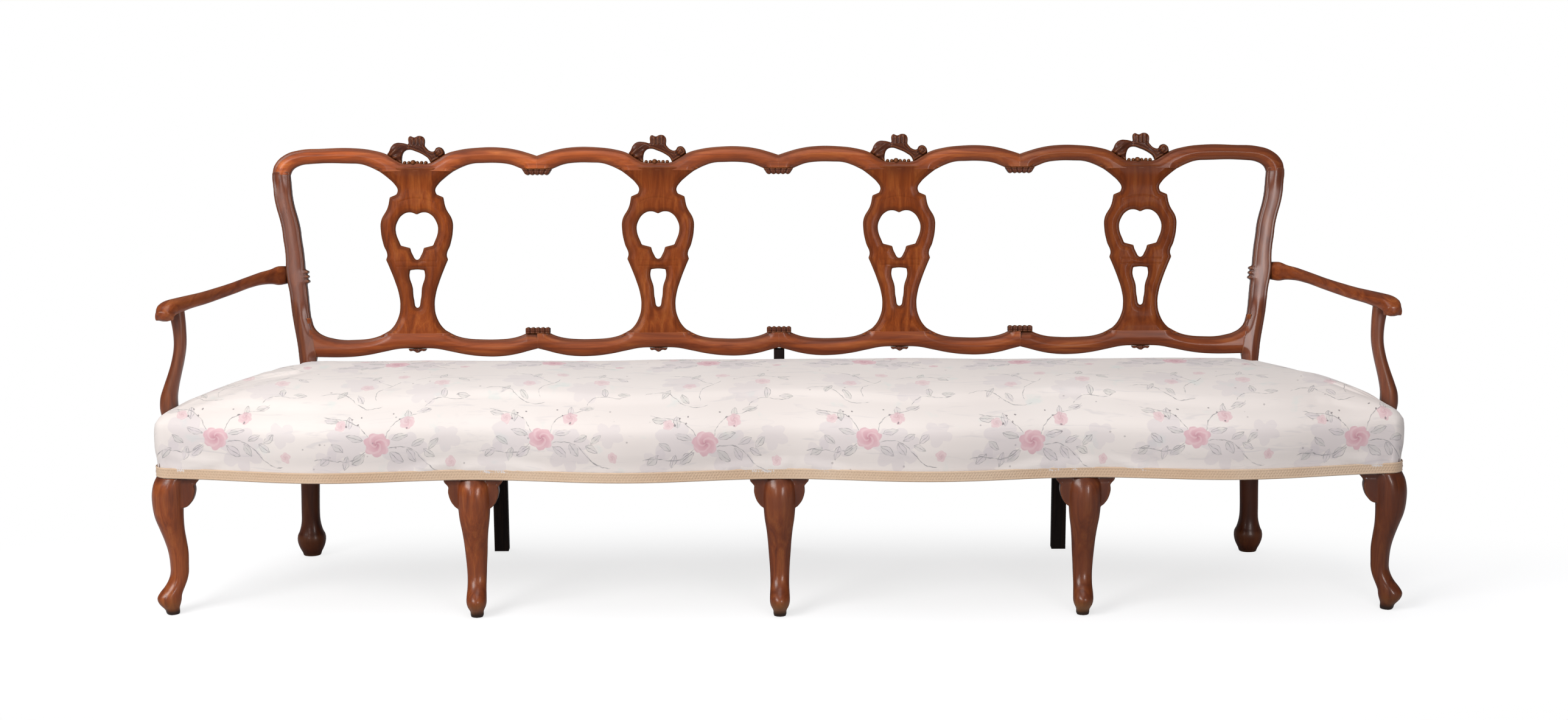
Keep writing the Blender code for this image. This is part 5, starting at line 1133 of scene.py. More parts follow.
# Arms and their supports
# Open arms of walnut, tenoned into the posts, bowed out and ending in a scrolled hand,
# each on an S-curved support that is let into the seat's side.
HAND = Vector((1.270, FOOT_LINE_Y + 0.058, 0.650))
arm_root = on_back @ Vector((POST_X + post_lean(ARM_UP) + 0.024, ARM_UP, -0.010))
ARM_BOW = 0.020
# share along, share of the bow, height over the root, half width, half height, ridge on top
ARM_ROWS = [
    (0.000, 0.00, 0.0004, 0.0100, 0.0200, 0.0000), (0.040, 0.40, 0.0012, 0.0132, 0.0205, 0.0020),
    (0.075, 0.68, 0.0022, 0.0132, 0.0165, 0.0018), (0.150, 1.00, 0.0042, 0.0128, 0.0132, 0.0020),
    (0.280, 0.79, 0.0066, 0.0122, 0.0112, 0.0022), (0.440, 0.34, 0.0084, 0.0122, 0.0110, 0.0022),
    (0.600, 0.05, 0.0102, 0.0136, 0.0114, 0.0022), (0.740, -0.13, 0.0122, 0.0160, 0.0120, 0.0020),
    (0.860, -0.10, 0.0146, 0.0188, 0.0130, 0.0014), (0.945, -0.03, 0.0148, 0.0204, 0.0150, 0.0006),
    (1.000, 0.00, 0.0108, 0.0200, 0.0160, 0.0000), (1.026, 0.04, 0.0050, 0.0172, 0.0146, 0.0000),
    (1.044, 0.05, 0.0000, 0.0106, 0.0096, 0.0000), (1.050, 0.05, -0.0016, 0.0030, 0.0030, 0.0000),
]
arm_rows = even_points(ARM_ROWS, 84)
middles = []
for along, bow, lift, wide, high, ridge in arm_rows:
    x = blend(arm_root.x, HAND.x, min(along, 1.0)) + ARM_BOW * bow
    y = blend(arm_root.y, HAND.y, along)
    middles.append(Vector((x, y, arm_root.z + lift)))
turns, ring_x, ring_y = squared_ring(32, 2.7)
on_top = ridge_over(turns, np.pi / 2, 0.7)
arm_rings = []
for k, (middle, row) in enumerate(zip(middles, arm_rows)):
    ahead = middles[min(k + 1, len(middles) - 1)] - middles[max(k - 1, 0)]
    flat = Vector((ahead.y, -ahead.x, 0.0)).normalized()
    upright = flat.cross(ahead).normalized()
    arm_rings.append([middle + flat * (row[3] * a) + upright * (row[4] * b + row[5] * r)
                      for a, b, r in zip(ring_x, ring_y, on_top)])
right_arm = draw_limb("right_arm_wood", arm_rings)

# The scroll under the hand: a short roll that the lip curls round, with a turned eye at each end.
ROLL_RADIUS = 0.0085
ROLL_HALF = 0.0185
roll_middle = Vector((1.2715, HAND.y - 0.0080, arm_root.z + 0.0005))
roll = add_block(bpy.ops.mesh.primitive_cylinder_add, vertices=40, radius=ROLL_RADIUS, depth=ROLL_HALF * 2,
                 location=roll_middle, rotation=(0.0, math.pi / 2, 0.0))
bpy.ops.object.mode_set(mode="EDIT")
shape = bmesh.from_edit_mesh(roll.data)
for face in shape.faces:
    face.select = len(face.verts) > 4
bmesh.update_edit_mesh(roll.data)
bpy.ops.mesh.inset(thickness=0.0022, use_individual=True)
bpy.ops.mesh.inset(thickness=0.0012, depth=-0.0016, use_individual=True)
bpy.ops.mesh.inset(thickness=0.0014, depth=0.0026, use_individual=True)
bpy.ops.object.mode_set(mode="OBJECT")
right_arm = fuse([right_arm, roll], "right_arm_wood", 0.0016, 5)
walnut_arm = polished_walnut("walnut_arm", 1, 0.74, polish=0.35)
hand_over_pair(right_arm, walnut_arm, "arm")

SUPPORT_FOOT_Y = FOOT_LINE_Y + 0.084
SUPPORT_TOP_Y = FOOT_LINE_Y + 0.100


def side_curve(y):
    """Smooth outer face of a side rail, as a distance from the middle."""
    start = CORNER_FRONT_Y + CORNER_HEAD / 2
    end = BACK_Y - 0.015
    share = (y - start) / (end - start)
    bow = 0.014 * math.sin(math.pi * min(max(share, 0.0), 1.0))
    return blend(CORNER_LEG_X + CORNER_HEAD / 2, POST_X + 0.028, share) + bow


# height, distance from the middle, half width, half depth, ridge
SUPPORT_ROWS = [
    (0.3300, 1.2700, 0.0130, 0.0130, 0.000), (0.3900, 1.2720, 0.0150, 0.0150, 0.000),
    (0.4080, 1.2760, 0.0172, 0.0170, 0.000), (0.4200, 1.2790, 0.0184, 0.0178, 0.001),
    (0.4380, 1.2815, 0.0184, 0.0185, 0.002), (0.4560, 1.2808, 0.0176, 0.0182, 0.003),
    (0.4800, 1.2750, 0.0156, 0.0170, 0.003), (0.5040, 1.2676, 0.0140, 0.0156, 0.003),
    (0.5300, 1.2600, 0.0130, 0.0144, 0.003), (0.5640, 1.2535, 0.0126, 0.0140, 0.002),
    (0.6000, 1.2535, 0.0134, 0.0145, 0.001), (0.6250, 1.2560, 0.0148, 0.0152, 0.000),
    (0.6420, 1.2580, 0.0154, 0.0156, 0.000),
]
turns, ring_x, ring_y = squared_ring(28, 2.8)
on_front = ridge_over(turns, -np.pi / 2, 0.6)
support_rings = []
for z, x, wide, deep, ridge in even_points(SUPPORT_ROWS, 64):
    y = blend(SUPPORT_FOOT_Y, SUPPORT_TOP_Y, (z - 0.33) / 0.31)
    support_rings.append([Vector((x + wide * a, y + deep * b - r, z))
                          for a, b, r in zip(ring_x, ring_y, ridge * on_front)])
right_support = draw_limb("right_arm_stump", support_rings)
hand_over_pair(right_support, walnut_upright, "arm_support")

# Webbing
# Jute straps tacked to the tops of the rails: twelve from front to back and three along the seat,
# woven over and under one another. They show from below.
WAVE_SCALE = 0.314


def jute_weave(name, colour, pitch, dark):
    """Coarse plain weave with thick and thin yarns."""
    pot = Pot(bpy.data.materials.new(name))
    warp, weft = [pot.wave(pot.place(), WAVE_SCALE / pitch, 1.0, 2.0, axis) for axis in ("X", "Y")]
    weave = pot.calc("MAXIMUM", warp, weft)
    slubs = pot.grain((60.0, 60.0, 60.0), 4.0)
    yarn = pot.mix(pot.span(slubs, 0.35, 0.7), tuple(c * 0.75 for c in colour), colour)
    yarn = pot.mix(pot.span(weave, 0.35, 0.75, 0.75, 0.0), yarn, dark)
    return pot.dress(yarn, pot.span(slubs, 0.3, 0.7, 0.82, 0.95), weave, 0.6, 0.0006, Sheen_Weight=0.2)


WEB_WIDTH = 0.050
WEB_Z = 0.3611
WEB_WAVE = 0.00045
WEB_THICK = 0.0007
WEB_CROSS = 12
WEB_FRONT = CORNER_FRONT_Y + 0.004
WEB_REAR = BACK_Y + 0.011
WEB_REACH = POST_X - POST_HALF - 0.004
cross_gap = 2 * (WEB_REACH - WEB_WIDTH / 2) / (WEB_CROSS - 1)
cross_xs = [-WEB_REACH + WEB_WIDTH / 2 + cross_gap * k for k in range(WEB_CROSS)]
long_ys = [blend(WEB_FRONT, WEB_REAR, (k + 1) / 4) for k in range(3)]
STRAP_STEP = 0.008
STRAP_ROWS = 6
CROSSING_NEAR = 0.027
CROSSING_FAR = 0.048


def strap(start, end, along_x, crossings, first):
    """One flat strap that goes over and under the straps it meets, first over for 1 or under for -1."""
    length = (end - start).length
    steps = max(12, int(length / STRAP_STEP))
    across, down = (steps, STRAP_ROWS) if along_x else (STRAP_ROWS, steps)
    size = (length, WEB_WIDTH, 1.0) if along_x else (WEB_WIDTH, length, 1.0)
    made = add_block(bpy.ops.mesh.primitive_grid_add, x_subdivisions=across, y_subdivisions=down, size=1.0,
                     location=(start + end) / 2, scale=size)
    places = read_points(made)
    run = places[:, 0] if along_x else places[:, 1]
    rise = np.zeros(len(run))
    for k, crossing in enumerate(crossings):
        near = 1 - smooth_between(np.abs(run - crossing), CROSSING_NEAR, CROSSING_FAR)
        rise += first * (-1) ** k * near
    places[:, 2] += WEB_WAVE * np.clip(rise, -1, 1)
    write_points(made, places)
    return made


straps = []
for k, x in enumerate(cross_xs):
    ends = Vector((x, WEB_FRONT, WEB_Z)), Vector((x, WEB_REAR, WEB_Z))
    straps.append(strap(*ends, False, long_ys, 1 if k % 2 else -1))
for k, y in enumerate(long_ys):
    reach = side_curve(y) - 0.006
    ends = Vector((-reach, y, WEB_Z)), Vector((reach, y, WEB_Z))
    straps.append(strap(*ends, True, cross_xs, -1 if k % 2 else 1))
webbing = join_pieces(straps, "seat_webbing")
apply_step(webbing, "SOLIDIFY", thickness=WEB_THICK, offset=0.0)
jute_strap = jute_weave("jute_strap", (0.40, 0.27, 0.14), 0.0016, (0.10, 0.06, 0.03))
hand_over(webbing, jute_strap, "jute", "webbing")

# Base cloth
# A sheet of hessian tacked over the webbing, which carries the stuffing.
# It shows from below between the straps.
FRONT_BOW = 0.032
CORNER_SETBACK = 0.024
CORNER_OUTER_X = CORNER_LEG_X + CORNER_HEAD / 2
CORNER_ROUND = 0.026
CORNER_SWEEP = math.radians(72.0)
SEAT_REAR_Y = BACK_Y + 0.013
CROWN_LINE_X = CORNER_OUTER_X - 0.27
CROWN_LINE_Y = (RAIL_FRONT_Y + BACK_Y + 0.015) / 2
RAIL_END_X = CORNER_LEG_X - CORNER_HEAD / 2


def front_face(x):
    """Front of the seat, bowed in each bay between two legs."""
    at = abs(x)
    outer_bay = 1 + (at - INNER_LEG_X) / (CORNER_LEG_X - INNER_LEG_X)
    bay = at / INNER_LEG_X if at < INNER_LEG_X else outer_bay
    swell = (1 - math.cos(2 * math.pi * bay)) / 2
    return RAIL_FRONT_Y - FRONT_BOW * swell + CORNER_SETBACK * (at / CORNER_LEG_X) ** 4


def seat_plan(out, step):
    """Plan round the seat from the front middle to the right: points and the wall that each is on."""
    count = int(RAIL_END_X / step)
    xs = [RAIL_END_X * k / count for k in range(count + 1)]
    right = [(x, front_face(x) - out, "front") for x in xs]
    arc_x, arc_y = CORNER_OUTER_X - CORNER_ROUND, CORNER_FRONT_Y + CORNER_ROUND
    radius = CORNER_ROUND + out
    for k in range(1, 13):
        turn = 1.5 * math.pi + CORNER_SWEEP * k / 12
        wall = "front" if k < 6 else "side"
        right.append((arc_x + radius * math.cos(turn), arc_y + radius * math.sin(turn), wall))
    start = right[-1][1]
    sides = int((SEAT_REAR_Y - start) / step)
    for k in range(1, sides + 1):
        y = blend(start + 0.004, SEAT_REAR_Y, k / sides)
        right.append((side_curve(y) + out, y, "side"))
    rear_end = right[-1][0]
    between = [blend(rear_end, xs[-1], share) for share in (0.33, 0.66)]
    rear = [x for x in between if x > xs[-1]] + [x for x in reversed(xs) if x < rear_end - 0.004]
    right += [(x, SEAT_REAR_Y, "back") for x in rear]
    left = [(-x, y, wall) for x, y, wall in reversed(right) if x > 1e-6]
    return right + left


def close_middle(shape, loop):
    """Close a long ring with faces across it between facing points, and one face at each end."""
    fronts = {round(p[0], 5): i for i, p in enumerate(plan_in_use) if p[2] == "front"}
    backs = {round(p[0], 5): i for i, p in enumerate(plan_in_use) if p[2] == "back"}
    shared = sorted(x for x in fronts if x in backs and abs(x) < CROWN_LINE_X)
    for x0, x1 in zip(shared, shared[1:]):
        shape.faces.new((loop[fronts[x0]], loop[fronts[x1]], loop[backs[x1]], loop[backs[x0]]))
    count = len(loop)
    shape.faces.new([loop[i] for i in range(fronts[shared[-1]], backs[shared[-1]] + 1)])
    shape.faces.new([loop[i % count] for i in range(backs[shared[0]], fronts[shared[0]] + 1)])


def drawn_in(point, share):
    """A plan point moved a share of the way in to the seat's middle line."""
    heart_x = max(-CROWN_LINE_X, min(CROWN_LINE_X, point[0]))
    return point[0] + (heart_x - point[0]) * share, point[1] + (CROWN_LINE_Y - point[1]) * share


POINT_NUDGE = 1e-5


def nudge_apart(ring):
    """Move the points of a ring a hair, so that no two share a place."""
    for i, point in enumerate(ring):
        point.x += POINT_NUDGE * i / len(ring)


HESSIAN_Z = 0.3629
CLOTH_RINGS = 12
CLOTH_INNER = 0.94
plan_in_use = seat_plan(-0.010, 0.020)
cloth_rings = []
for k in range(CLOTH_RINGS):
    ring = []
    for point in plan_in_use:
        x, y = drawn_in(point, CLOTH_INNER * k / (CLOTH_RINGS - 1))
        notch = abs(point[0]) > POST_X - POST_HALF - 0.004 and y > BACK_Y - 0.018
        ring.append(Vector((x, BACK_Y - 0.019 if notch else y, HESSIAN_Z)))
    cloth_rings.append(ring)
for ring in cloth_rings:
    for point in ring:
        point.z += 0.00012 * math.sin(37 * point.x) * math.sin(41 * point.y)
    nudge_apart(ring)
base_cloth = draw_limb("base_hessian", cloth_rings, "NOTHING", close_middle)
apply_step(base_cloth, "SOLIDIFY", thickness=0.0010, offset=0.0)
hessian = jute_weave("hessian", (0.46, 0.33, 0.19), 0.0011, (0.14, 0.09, 0.05))
hand_over(base_cloth, hessian, "jute", "base_cloth")

# Seat
# A stuffed-over seat of curled hair under a woven cotton cover, drawn down over the rails,
# folded in a soft pleat at each front corner and cut round the posts.
SEAT_SKIN = 0.0062
EDGE_Z = 0.411
CROWN_Z = 0.478
REAR_FALL = 0.011
COVER_SWELL = 0.004
COVER_THICK = 0.0022
BACK_FOOT_Z = 0.3642
END_RISE = 0.009
wall_run = EDGE_Z - SEAT_UNDER
crown_rise = CROWN_Z - EDGE_Z
# order, share in, swell, height
SEAT_ROWS = [
    (0.0, 0.000, 0.0, SEAT_UNDER + 0.0006), (1.0, 0.000, 0.0, SEAT_UNDER + wall_run * 0.30),
    (2.0, 0.000, COVER_SWELL, SEAT_UNDER + wall_run * 0.60),
    (2.7, 0.000, COVER_SWELL * 0.8, SEAT_UNDER + wall_run * 0.84),
    (3.05, 0.003, COVER_SWELL * 0.3, EDGE_Z - 0.0055), (3.30, 0.016, 0.0, EDGE_Z + 0.0018),
    (3.60, 0.036, 0.0, EDGE_Z + 0.0072), (4.0, 0.0675, 0.0, EDGE_Z + crown_rise * 0.22),
    (5.0, 0.165, 0.0, EDGE_Z + crown_rise * 0.47), (6.5, 0.3225, 0.0, EDGE_Z + crown_rise * 0.74),
    (9.0, 0.5325, 0.0, EDGE_Z + crown_rise * 0.93), (11.5, 0.75, 0.0, CROWN_Z - 0.0006),
    (13.5, 0.94, 0.0, CROWN_Z),
]
seat_rows = even_points(SEAT_ROWS, 60)
plan_in_use = seat_plan(SEAT_SKIN - 0.0006, 0.012)
seat_rings = []
for order, share, swell, height in seat_rows:
    level = min(order / 11.5, 1.0)
    ring = []
    for point in plan_in_use:
        x, y = drawn_in(point, share)
        inward = Vector(drawn_in(point, 1.0)) - Vector(point[:2])
        out = inward.normalized() * (0.0 if point[2] == "back" else swell)
        fall = max(0.0, (y - CROWN_LINE_Y) / (BACK_Y + 0.015 - CROWN_LINE_Y))
        z = height - REAR_FALL * fall * (1 - level ** 3)
        near_end = smooth_between(abs(x), CORNER_OUTER_X - 0.13, CORNER_OUTER_X - 0.01)
        z += END_RISE * near_end * smooth_between(order, 1.5, 3.05) * (1 - smooth_between(order, 3.3, 6.5))
        if point[2] == "back":
            z = max(z, BACK_FOOT_Z + 0.0004 * order)
        ring.append(Vector((x - out.x, y - out.y, z)))
    nudge_apart(ring)
    seat_rings.append(ring)
seat = draw_limb("seat_padding", seat_rings, "NOTHING", close_middle)

# The print is laid by two measures of the cloth: along the seat, and up the front and back over the top.
pos = read_points(seat)
cloth_map = seat.data.uv_layers.new(name="cloth")
EDGE_V = 0.129
OVER_TOP = 1.03
PRINT_SHIFT = 0.036
for poly in seat.data.polygons:
    centre = poly.center
    on_side = abs(centre.x) > CORNER_OUTER_X - 0.010 and centre.y > CORNER_FRONT_Y + 0.010
    on_side = on_side or abs(centre.x) > side_curve(centre.y) - 0.012 and centre.y > CORNER_FRONT_Y + 0.03
    for loop in poly.loop_indices:
        x, y, z = pos[seat.data.loops[loop].vertex_index]
        low = max(0.0, EDGE_Z + 0.004 - z)
        face_y = front_face(max(-RAIL_END_X, min(RAIL_END_X, x)))
        u, v = x - PRINT_SHIFT, EDGE_V + OVER_TOP * (y - face_y)
        if on_side:
            u += math.copysign(low, x)
        elif y > CROWN_LINE_Y:
            v += low
        else:
            v -= low
        cloth_map.data[loop].uv = (u, v)

# Left to the pressure of the stuffing for a moment, the cover rounds out between its tacked edges.
edge_group = seat.vertex_groups.new(name="tacked")
low_edge = np.flatnonzero((pos[:, 2] < SEAT_UNDER + 0.012) | (pos[:, 1] > SEAT_REAR_Y - 0.002))
edge_group.add(low_edge.tolist(), 1.0, "REPLACE")
COVER_FRAMES = 20
COVER_OUT = 0.004
laid = pos.copy()
facing = read_points(seat, "normal")
pick(seat)
cloth = seat.modifiers.new("cover", "CLOTH")
stuff = {"quality": 5, "mass": 0.35, "tension_stiffness": 35.0, "compression_stiffness": 35.0,
         "shear_stiffness": 12.0, "bending_stiffness": 1.0, "use_pressure": True,
         "uniform_pressure_force": 4.0, "vertex_group_mass": "tacked"}
for key, value in stuff.items():
    setattr(cloth.settings, key, value)
cloth.settings.effector_weights.gravity = 0.0
cloth.collision_settings.use_collision = False
cloth.point_cache.frame_start = 1
cloth.point_cache.frame_end = COVER_FRAMES
for step in range(1, COVER_FRAMES + 1):
    bpy.context.scene.frame_set(step)
bpy.ops.object.modifier_apply(modifier=cloth.name)
bpy.context.scene.frame_set(1)
outward = np.sum((read_points(seat) - laid) * facing, axis=1)
inward_room = 0.003 * smooth_between(laid[:, 2], EDGE_Z + 0.01, EDGE_Z + 0.04)
pos = laid + facing * np.clip(outward, -inward_room, COVER_OUT)[:, None]
write_points(seat, pos)
normals = read_points(seat, "normal")
PLEAT_DEEP = 0.0034
PLEAT_HALF = 0.0055
LUMPS = 0.0011
pleat_x, pleat_y = CORNER_OUTER_X - 0.0125, CORNER_FRONT_Y + 0.0075
x, y, z = pos.T
from_pleat = np.hypot(np.abs(x) - pleat_x, y - pleat_y)
in_wall = 1 - smooth_between(z, EDGE_Z - 0.010, EDGE_Z + 0.030)
pleat = PLEAT_DEEP * np.exp(-((np.abs(x) - pleat_x - (y - pleat_y)) / PLEAT_HALF) ** 2)
pleat = pleat * in_wall * (from_pleat < 0.05) * smooth_between(z, SEAT_UNDER + 0.010, SEAT_UNDER + 0.030)
lumps = (np.sin(5.3 * x + 1.0) * np.sin(11.0 * y + 0.5) + 0.6 * np.sin(13.1 * x - 2.0) * np.sin(17.0 * y)
         + 0.4 * np.sin(23.0 * x + 9.0 * y))
held = smooth_between(z, SEAT_UNDER + 0.02, EDGE_Z)
pos = pos + normals * (LUMPS * lumps * held - pleat)[:, None]
write_points(seat, pos)

# The cover is cut to lie against the face and the inner side of each post.
CUT_IN = 0.0008
CUT_BESIDE = 0.0030
CUT_SLACK = 0.0001
to_front = on_back.col[2].xyz
cut_x = POST_X - POST_HALF + CUT_BESIDE
pick(seat)
bpy.ops.object.mode_set(mode="EDIT")
bpy.ops.mesh.select_all(action="SELECT")
bpy.ops.mesh.bisect(plane_co=on_back @ Vector((0.0, 0.0, BOARD_HALF - CUT_IN)), plane_no=to_front)
for side in (-1, 1):
    bpy.ops.mesh.select_all(action="SELECT")
    bpy.ops.mesh.bisect(plane_co=(side * cut_x, 0.0, 0.0), plane_no=(1.0, 0.0, 0.0))
post_face = on_back @ Vector((0.0, 0.0, BOARD_HALF - CUT_IN - CUT_SLACK))
for face in bmesh.from_edit_mesh(seat.data).faces:
    middle = face.calc_center_median()
    face.select = (middle - post_face).dot(to_front) < 0.0 and abs(middle.x) > cut_x - CUT_SLACK
bmesh.update_edit_mesh(seat.data)
bpy.ops.mesh.delete(type="FACE")
bpy.ops.object.mode_set(mode="OBJECT")
apply_step(seat, "SOLIDIFY", thickness=COVER_THICK, offset=-1.0)

# Cotton printed with scattered roses, blossoms and sprays on ivory, a little faded.
TILE_WIDE = 0.338
TILE_HIGH = 0.360
PRINT_WAVER = 0.009
COLUMN_SHIFT = 0.012
pot = Pot(bpy.data.materials.new("printed_cotton"))
uv = pot.add("UVMap", "UV", uv_map="cloth")
waver = pot.noise(uv, 55.0, 2.0, out="Color")
waver = pot.add("VectorMath", "Vector", {0: waver, 1: (0.5, 0.5, 0.5)}, operation="SUBTRACT")
waver = pot.add("VectorMath", "Vector", {0: waver, 1: (PRINT_WAVER, PRINT_WAVER, 0.0)}, operation="MULTIPLY")
drawn_u, drawn_v = pot.split(pot.add("VectorMath", "Vector", {0: uv, 1: waver}, operation="ADD"))[:2]
odd = pot.calc("FLOORED_MODULO", pot.calc("FLOOR", pot.calc("DIVIDE", drawn_u, TILE_WIDE)), 2.0)
tile_u = pot.minus(pot.calc("FLOORED_MODULO", drawn_u, TILE_WIDE), TILE_WIDE / 2)
shifted = pot.plus(drawn_v, pot.times(odd, COLUMN_SHIFT))
tile_v = pot.minus(pot.calc("FLOORED_MODULO", shifted, TILE_HIGH), TILE_HIGH / 2)
tile = pot.add("CombineXYZ", "Vector", {"X": tile_u, "Y": tile_v})


def motif_space(x, y, turn, size):
    """Coordinates of one motif, in its own size and turn."""
    inputs = {"Vector": tile, "Location": (x, y, 0.0), "Rotation": (0.0, 0.0, math.radians(turn)),
              "Scale": (size, size, 1.0)}
    return pot.split(pot.add("Mapping", "Vector", inputs, vector_type="TEXTURE"))[:2]


def leaf_shape(x, y, turn, size, slim):
    """Pointed leaf from its stalk along its own x: the filled shape, and its drawn outline with a midrib."""
    a, b = motif_space(x, y, turn, size)
    across = pot.calc("ABSOLUTE", b)
    depth = pot.minus(pot.times(pot.times(a, pot.minus(1.0, a)), 4 * slim), across)
    filled = pot.span(depth, 0.0, 0.05, smooth=True)
    outline = pot.span(pot.calc("ABSOLUTE", depth), 0.008, 0.032, 1.0, 0.0)
    midrib = pot.times(pot.span(across, 0.008, 0.030, 1.0, 0.0), filled)
    return filled, pot.calc("MAXIMUM", outline, midrib)


def flower_shape(x, y, turn, size, petals, depth):
    """Petalled flower: its mask, its distance from the middle and its turn."""
    a, b = motif_space(x, y, turn, size)
    reach = pot.calc("SQRT", pot.plus(pot.times(a, a), pot.times(b, b)))
    around = pot.calc("ARCTAN2", b, a)
    wave = pot.calc("ABSOLUTE", pot.calc("COSINE", pot.times(around, petals / 2)))
    edge = pot.plus(1.0 - depth, pot.times(wave, depth))
    inside = pot.span(pot.minus(edge, reach), 0.0, 0.07, smooth=True)
    return inside, reach, around


def stem_shape(x, y, turn, size, sway, waves, half):
    """Thin swaying stem along its own x."""
    a, b = motif_space(x, y, turn, size)
    line = pot.times(pot.calc("SINE", pot.times(a, waves)), sway)
    off = pot.calc("ABSOLUTE", pot.minus(b, line))
    inside = pot.span(off, half * 0.4, half, 1.0, 0.0, smooth=True)
    near = pot.span(pot.calc("ABSOLUTE", pot.minus(a, 0.5)), 0.46, 0.5, 1.0, 0.0)
    return pot.times(inside, near)


def any_of(masks):
    whole = masks[0]
    for mask in masks[1:]:
        whole = pot.calc("MAXIMUM", whole, mask)
    return whole


# Washes of lavender and pale water green under the drawing.
ground = pot.ramp(pot.grain((3.0, 3.0, 3.0), 3.0), [
    (0.3, (0.760, 0.690, 0.660)), (0.7, (0.800, 0.740, 0.710))])
patches = pot.noise(uv, 17.0, 4.0)
colour = pot.mix(pot.span(patches, 0.60, 0.74, 0.0, 0.40, smooth=True), ground, (0.590, 0.680, 0.650))
lines = pot.noise(pot.add("Mapping", "Vector", {"Vector": uv, "Scale": (9.0, 46.0, 1.0)}), 1.0, 5.0, 1.5)
colour = pot.mix(pot.span(lines, 0.56, 0.72, 0.0, 0.34, smooth=True), colour, (0.520, 0.490, 0.510))
ROSE = (-0.020, -0.082)


def by_rose(*rows):
    """Rows placed from the rose, moved to their places in the repeat."""
    return [(ROSE[0] + x, ROSE[1] + y, *rest) for x, y, *rest in rows]


# place along and up, turn, size, petals, share
WASHES = by_rose((0.055, -0.020, 20, 0.052, 7, 0.34), (-0.060, 0.004, 0, 0.050, 5, 0.34)) + [
    (0.120, -0.070, 50, 0.034, 5, 0.28), (-0.120, -0.125, 10, 0.036, 6, 0.26),
    (0.070, 0.060, 30, 0.045, 7, 0.24), (-0.070, 0.110, 80, 0.048, 6, 0.24)]
for x, y, turn, size, petals, share in WASHES:
    inside, reach, around = flower_shape(x, y, turn, size, petals, 0.35)
    colour = pot.mix(pot.times(inside, share), colour, (0.560, 0.500, 0.545))

# Twigs and drawn leaves in soft grey.
# place along and up, turn, size, sway, waves, half width
TWIGS = by_rose(
    (0.018, 0.012, 48, 0.120, 0.12, 5.0, 0.011), (-0.018, 0.014, 142, 0.110, -0.12, 4.4, 0.012),
    (0.022, -0.010, -18, 0.130, 0.10, 5.6, 0.011), (-0.022, -0.012, 196, 0.110, 0.10, 5.0, 0.012)) + [
    (0.070, 0.010, 25, 0.090, 0.14, 5.2, 0.014), (-0.150, 0.050, -12, 0.140, 0.12, 6.0, 0.010),
    (0.040, 0.120, 12, 0.120, 0.10, 5.0, 0.011), (-0.100, 0.160, -30, 0.120, 0.10, 5.0, 0.011),
    (-0.030, 0.030, 70, 0.090, 0.12, 5.0, 0.013)]
# place along and up, turn, size, slimness
LEAVES = by_rose(
    (0.028, 0.010, 18, 0.036, 0.22), (0.024, -0.018, -36, 0.034, 0.24), (-0.028, 0.008, 160, 0.036, 0.22),
    (-0.024, -0.020, 214, 0.034, 0.24), (0.060, -0.012, -58, 0.030, 0.24), (0.070, -0.006, 30, 0.030, 0.22),
    (0.092, -0.014, -30, 0.028, 0.24), (0.104, -0.012, 48, 0.030, 0.22), (-0.060, -0.022, 250, 0.028, 0.24),
    (-0.070, -0.016, 140, 0.030, 0.22), (-0.096, -0.024, 215, 0.028, 0.24), (-0.056, 0.040, 96, 0.030, 0.22),
    (-0.080, 0.056, 170, 0.030, 0.22), (0.060, 0.056, 90, 0.030, 0.20), (0.078, 0.078, 10, 0.030, 0.22)) + [
    (0.110, 0.034, 95, 0.032, 0.20), (0.134, 0.042, -5, 0.028, 0.22), (-0.110, 0.040, 60, 0.032, 0.18),
    (-0.070, 0.050, -60, 0.030, 0.20), (0.090, 0.132, 70, 0.032, 0.20), (0.130, 0.128, -40, 0.030, 0.20),
    (-0.050, 0.130, 60, 0.032, 0.20)]
twigs = any_of([stem_shape(*row) for row in TWIGS])
leaves = [leaf_shape(*row) for row in LEAVES]
veins = pot.noise(uv, 26.0, 2.0)
leaf_tint = pot.mix(pot.span(veins, 0.42, 0.58), (0.400, 0.430, 0.390), (0.520, 0.460, 0.520))
filled = any_of([leaf[0] for leaf in leaves])
drawing = pot.calc("MAXIMUM", any_of([leaf[1] for leaf in leaves]), twigs)
breaks = pot.noise(uv, 90.0, 2.0)
drawing = pot.times(drawing, pot.span(breaks, 0.35, 0.60, 0.15, 1.0))
colour = pot.mix(pot.times(filled, 0.26), colour, leaf_tint)
colour = pot.mix(pot.times(drawing, 0.78), colour, (0.215, 0.205, 0.220))

# A rose on the front of the seat in every repeat, with paler blossoms and buds above it.
# place along and up, turn, size, petals, strength
FLOWERS = [
    (*ROSE, 10, 0.0285, 7, 0.84), (0.040, -0.030, 40, 0.0165, 6, 0.60), (-0.095, -0.035, 70, 0.0125, 5, 0.50),
    (0.098, 0.100, 25, 0.0180, 6, 0.42), (-0.055, 0.085, 50, 0.0150, 5, 0.40),
    (0.012, 0.150, 5, 0.0150, 5, 0.38), (0.128, -0.120, 15, 0.0110, 5, 0.50)]
for x, y, turn, size, petals, strength in FLOWERS:
    inside, reach, around = flower_shape(x, y, turn, size, petals, 0.17)
    swirl = pot.calc("SINE", pot.plus(pot.times(around, 3.0), pot.times(reach, 12.0)))
    petal = pot.ramp(reach, [(0.0, (0.470, 0.150, 0.215)), (0.30, (0.610, 0.285, 0.350)),
                                       (0.70, (0.690, 0.410, 0.455)), (1.0, (0.640, 0.370, 0.425))])
    petal = pot.mix(pot.span(swirl, 0.10, 0.90, 0.0, 0.45, smooth=True), petal, (0.770, 0.570, 0.590))
    colour = pot.mix(pot.times(inside, strength), colour, petal)
BERRY = 0.0022
